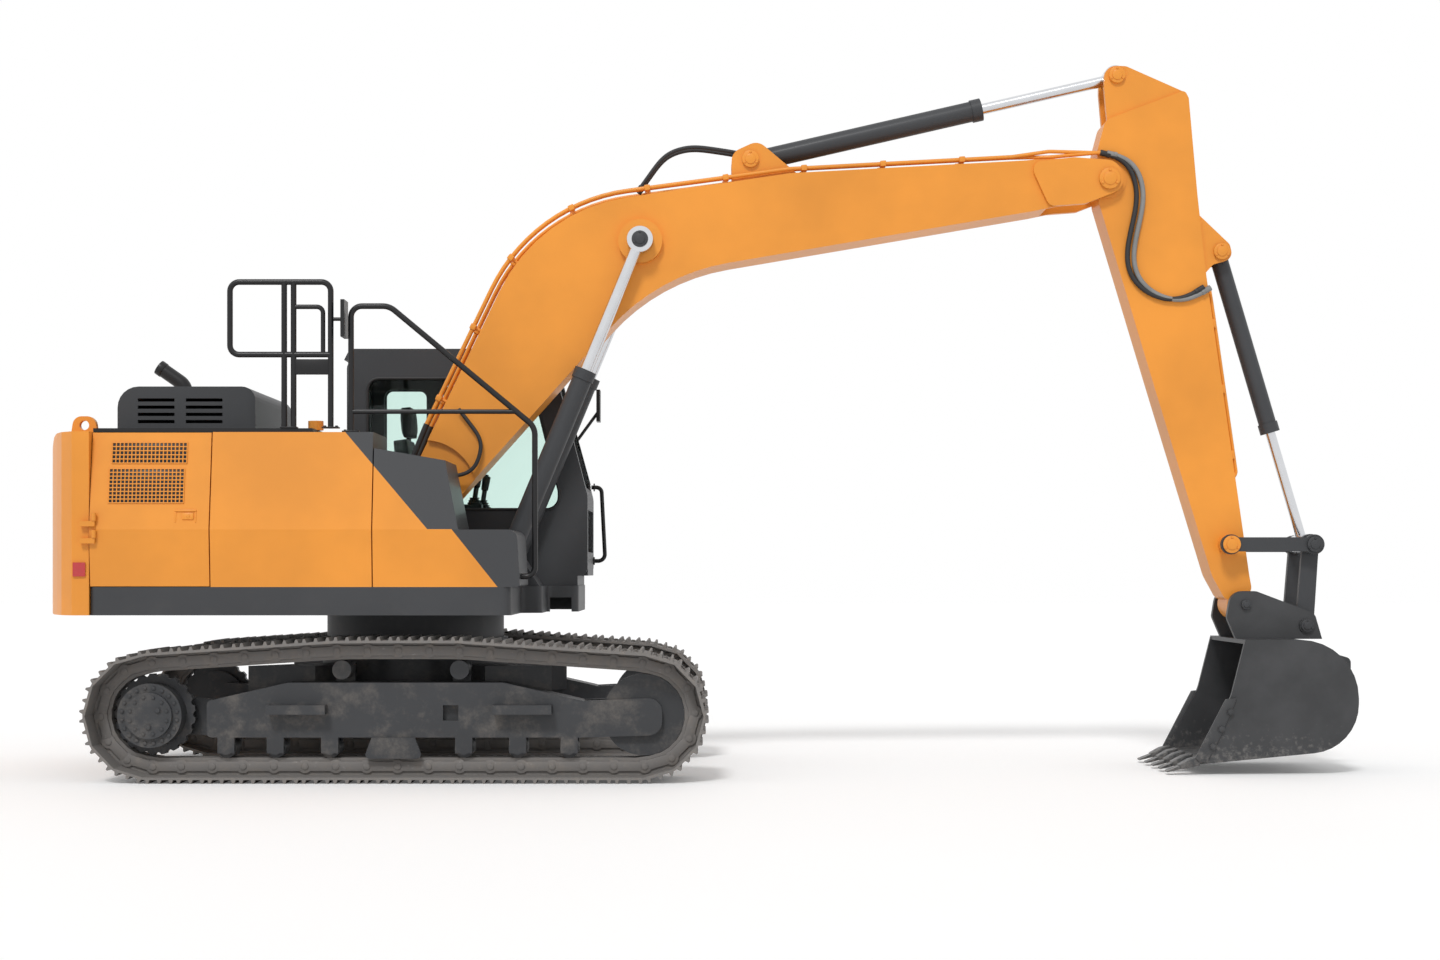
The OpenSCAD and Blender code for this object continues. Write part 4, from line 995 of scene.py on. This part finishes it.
class EXCAVATOR_OT_cab(bpy.types.Operator):
    """Seals the cab's windows and fits its controls, wiper and handle"""

    bl_idname = "excavator.cab"
    bl_label = "Fit Out the Cab"

    def execute(self, context):
        shape = bmesh.new()
        self.seal(shape, [(-0.38, 1.8, 0.08), (0.98, 1.8, 0.09), (0.98, 1.93, 0.06),
                          (0.78, 2.73, 0.08), (-0.38, 2.73, 0.08)], 0.287)
        self.seal(shape, [(-0.38, 1.9, 0.06), (-0.06, 1.9, 0.06), (-0.06, 2.72, 0.06),
                          (-0.38, 2.72, 0.06)], CAB_LEFT)
        finish_piece("window_seals", shape, "hose_rubber", "house")
        shape = bmesh.new()
        self.seal(shape, [(0.13, 1.75, 0.06), (0.95, 1.75, 0.08), (0.95, 1.9, 0.1),
                          (0.79, 2.68, 0.06), (0.13, 2.68, 0.06)], CAB_LEFT)
        add_block(shape, spot(0.86, 1.24, 1.64), spot(0.985, 1.252, 1.705), 0.004)
        grip = [(0.872, 1.25, 0), (0.872, 1.276, 0.01), (0.972, 1.276, 0.01), (0.972, 1.25, 0)]
        add_tube(shape, bent([(spot(x, y, 1.672), bend) for x, y, bend in grip], 5), 0.008)
        finish_piece("door_seal_and_handle", shape, "hose_rubber", "cab_door")
        self.controls()
        self.wiper()
        return {"FINISHED"}

    def seal(self, shape, corners, y):
        """A rubber strip round one window in a side wall."""
        looped = in_plane(y, corners)
        path = bent([(looped[-1][0], 0)] + looped + [(looped[0][0], 0)], 7)[1:-1]
        add_tube(shape, path, 0.012, closed=True, fine=2)

    def controls(self):
        """Grips and gaiters on the levers, and a display on its post."""
        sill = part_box("control_consoles")[0].z
        tilt = (0.15, 0, 1)
        shape = bmesh.new()
        for side in SIDES:
            y = CAB_Y + side * 0.32
            add_disc(shape, spot(0.362, y, 1.865), UP, 0.05, 0.05, 24, 0.006, top=0.026)
            for ring in range(3):
                place = spot(0.364, y, 1.85 + ring * 0.018)
                add_disc(shape, place, UP, 0.052 - ring * 0.008, 0.008, 24, 0.003)
            add_disc(shape, spot(0.385, y, 2.015), tilt, 0.026, 0.11, 20, 0.01, top=0.032)
            add_disc(shape, spot(0.394, y, 2.074), tilt, 0.014, 0.012, 16, 0.004)
            y = CAB_Y + side * 0.06
            add_disc(shape, spot(0.76, y, sill + 0.58), UP, 0.022, 0.09, 20, 0.008, top=0.026)
        add_tube(shape, bent([(spot(0.8, 0.345, 1.7), 0), (spot(0.8, 0.4, 1.76), 0.04),
                              (spot(0.8, 0.42, 1.94), 0)], 6), 0.014)
        add_block(shape, spot(0.785, 0.35, 1.93), spot(0.82, 0.55, 2.07), 0.01)
        finish_piece("cab_controls", shape, "black_paint", "house")

    def wiper(self):
        """The windscreen's wiper: pivot, arm and blade."""
        up = Vector((-0.225, 0, 0.8)).normalized()
        foot = spot(1.15, CAB_Y, 1.985)
        out = Vector((up.z, 0, -up.x)) * 0.026
        shape = bmesh.new()
        add_disc(shape, foot + out * 0.5, out.normalized(), 0.022, 0.03, 20, 0.004)
        add_tube(shape, [foot + out, foot + out + up * 0.52 + Vector((0, 0.09, 0))], 0.006)
        middle = foot + out * 0.8 + up * 0.52 + Vector((0, 0.09, 0))
        add_tube(shape, [middle - up * 0.26, middle + up * 0.22], 0.009)
        finish_piece("wiper", shape, "black_paint", "house")


class EXCAVATOR_OT_bucket(bpy.types.Operator):
    """Bolts side cutters and tooth holders to the bucket"""

    bl_idname = "excavator.bucket"
    bl_label = "Fit the Bucket"

    half_width = 0.54
    # A corner of the lip and the direction of the bucket's side edge from it
    corner = Vector((-0.35, -1.05))
    edge = Vector((0.4565, 0.8897))
    # Outlines of a side cutter and a tooth holder, from the bucket's pin
    cutter = ((-0.408, -1.02), (-0.205, -0.628), (-0.13, -0.62), (-0.232, -0.86),
              (-0.33, -1.045), (-0.38, -1.052))
    cutter_depth = 0.02
    holder = ((-0.372, -1.072), (-0.372, -1.012), (-0.44, -1.03), (-0.512, -1.07),
              (-0.5, -1.098), (-0.43, -1.084))
    holder_half = 0.054

    def execute(self, context):
        shape = bmesh.new()
        for side in SIDES:
            y = side * (self.half_width + 0.0005)
            out = Vector((0, side * self.cutter_depth, 0))
            add_plate(shape, [along(BUCKET, u, v, y) for u, v in self.cutter], out, 0.004)
            for step in (0.12, 0.25, 0.38):
                u, v = self.corner + self.edge * step
                seat = along(BUCKET, u, v, y + side * self.cutter_depth)
                add_bolt(shape, seat, (0, side, 0), 0.02)
        for tooth in range(-2, 3):
            y = tooth * self.half_width * 0.46
            across = Vector((0, 2 * self.holder_half, 0))
            rim = [along(BUCKET, u, v, y - self.holder_half) for u, v in self.holder]
            add_plate(shape, rim, across, 0.006)
            for side in SIDES:
                pin = along(BUCKET, -0.455, -1.062, y + side * 0.055)
                add_disc(shape, pin, (0, side, 0), 0.012, 0.008, 16, 0.002)
        finish_piece("bucket_cutters", shape, "bucket_paint", "bucket")
        return {"FINISHED"}


class EXCAVATOR_OT_stage(bpy.types.Operator):
    """Sets the pale floor, the studio light and the photograph's camera"""

    bl_idname = "excavator.stage"
    bl_label = "Set the Stage"

    sky_level = 0.62
    sun_level = 1.5
    # What the floor adds where the camera sees it, up to white
    floor_glow = (0.09, 0.09, 0.09)

    def execute(self, context):
        view = context.scene.excavator_camera
        self.floor(view)
        self.lights(context.scene)
        camera = bpy.data.cameras.new("photo_view")
        camera.lens = view.lens
        camera.sensor_width = 36.0
        camera.shift_x = view.shift_right
        camera.shift_y = view.shift_up
        camera.clip_end = 400.0
        holder = show("photo_view", camera)
        holder.location = spot(*view.place)
        holder.rotation_euler = (math.radians(90), 0, 0)
        context.scene.camera = holder
        context.scene.view_settings.view_transform = "Standard"
        return {"FINISHED"}

    def floor(self, view):
        """A pale floor that runs into the backdrop."""
        shape = bmesh.new()
        bmesh.ops.create_grid(shape, x_segments=1, y_segments=1, size=view.floor_size / 2)
        mesh = to_mesh("studio_floor", shape)
        ground = show("studio_floor", mesh)
        shader = Shader("studio_floor")
        seen = shader.node("ShaderNodeLightPath", output="Is Camera Ray")
        tone = shader.mix(shader.noise(0.4), (0.94, 0.94, 0.94), (0.96, 0.96, 0.96))
        glow = shader.mix(seen, (0.0, 0.0, 0.0), self.floor_glow)
        shader.set(Base_Color=tone, Roughness=0.75, Emission_Color=glow, Emission_Strength=1.0)
        mesh.materials.append(shader.material)

    def lights(self, scene):
        """An even sky, which the camera and clear or shiny faces see as white, and a soft sun."""
        scene.world = bpy.data.worlds.new("studio")
        nodes = Nodes(scene.world)
        nodes.tree.nodes.remove(nodes.tree.nodes["Background"])
        sky, backdrop = (nodes.node("ShaderNodeBackground", {},
                                    {"Color": (1, 1, 1), "Strength": level})
                         for level in (self.sky_level, 1.0))
        seen, *others = (nodes.node("ShaderNodeLightPath", output=kind) for kind in (
            "Is Camera Ray", "Is Transmission Ray", "Is Glossy Ray"))
        for other in others:
            seen = nodes.node("ShaderNodeMath", {"operation": "MAXIMUM"}, {0: seen, 1: other})
        light = nodes.node("ShaderNodeMixShader", {}, {0: seen, 1: sky, 2: backdrop})
        nodes.feed(nodes.tree.nodes["World Output"].inputs["Surface"], light)
        key = bpy.data.lights.new("key_sun", "SUN")
        key.energy = self.sun_level
        key.angle = math.radians(12)
        sun = show("key_sun", key)
        sun.rotation_euler = (math.radians(42), math.radians(-14), 0)


class EXCAVATOR_PT_sidebar(bpy.types.Panel):
    """Lists the machine's settings and steps"""

    bl_idname = "EXCAVATOR_PT_sidebar"
    bl_label = "Excavator"
    bl_space_type = "VIEW_3D"
    bl_region_type = "UI"
    bl_category = "Excavator"

    def draw(self, context):
        for group in SETTINGS:
            settings = getattr(context.scene, group)
            for name in settings.__annotations__:
                self.layout.prop(settings, name)
        for step in STEPS:
            self.layout.operator(step.bl_idname)


SETTINGS = {
    "excavator_paint": PaintSettings,
    "excavator_seat": SeatSettings,
    "excavator_lines": LineSettings,
    "excavator_camera": CameraSettings,
}
STEPS = (
    EXCAVATOR_OT_finishes,
    EXCAVATOR_OT_seat,
    EXCAVATOR_OT_rails,
    EXCAVATOR_OT_lines,
    EXCAVATOR_OT_pins,
    EXCAVATOR_OT_tracks,
    EXCAVATOR_OT_panels,
    EXCAVATOR_OT_cab,
    EXCAVATOR_OT_bucket,
    EXCAVATOR_OT_stage,
)
CLASSES = (*SETTINGS.values(), *STEPS, EXCAVATOR_PT_sidebar)


def register():
    for kind in CLASSES:
        bpy.utils.register_class(kind)
    for name, group in SETTINGS.items():
        setattr(bpy.types.Scene, name, PointerProperty(type=group))


def unregister():
    for name in SETTINGS:
        delattr(bpy.types.Scene, name)
    for kind in reversed(CLASSES):
        bpy.utils.unregister_class(kind)


def main():
    register()
    for step in STEPS:
        group, call = step.bl_idname.split(".")
        getattr(getattr(bpy.ops, group), call)()


if __name__ == "__main__":
    main()
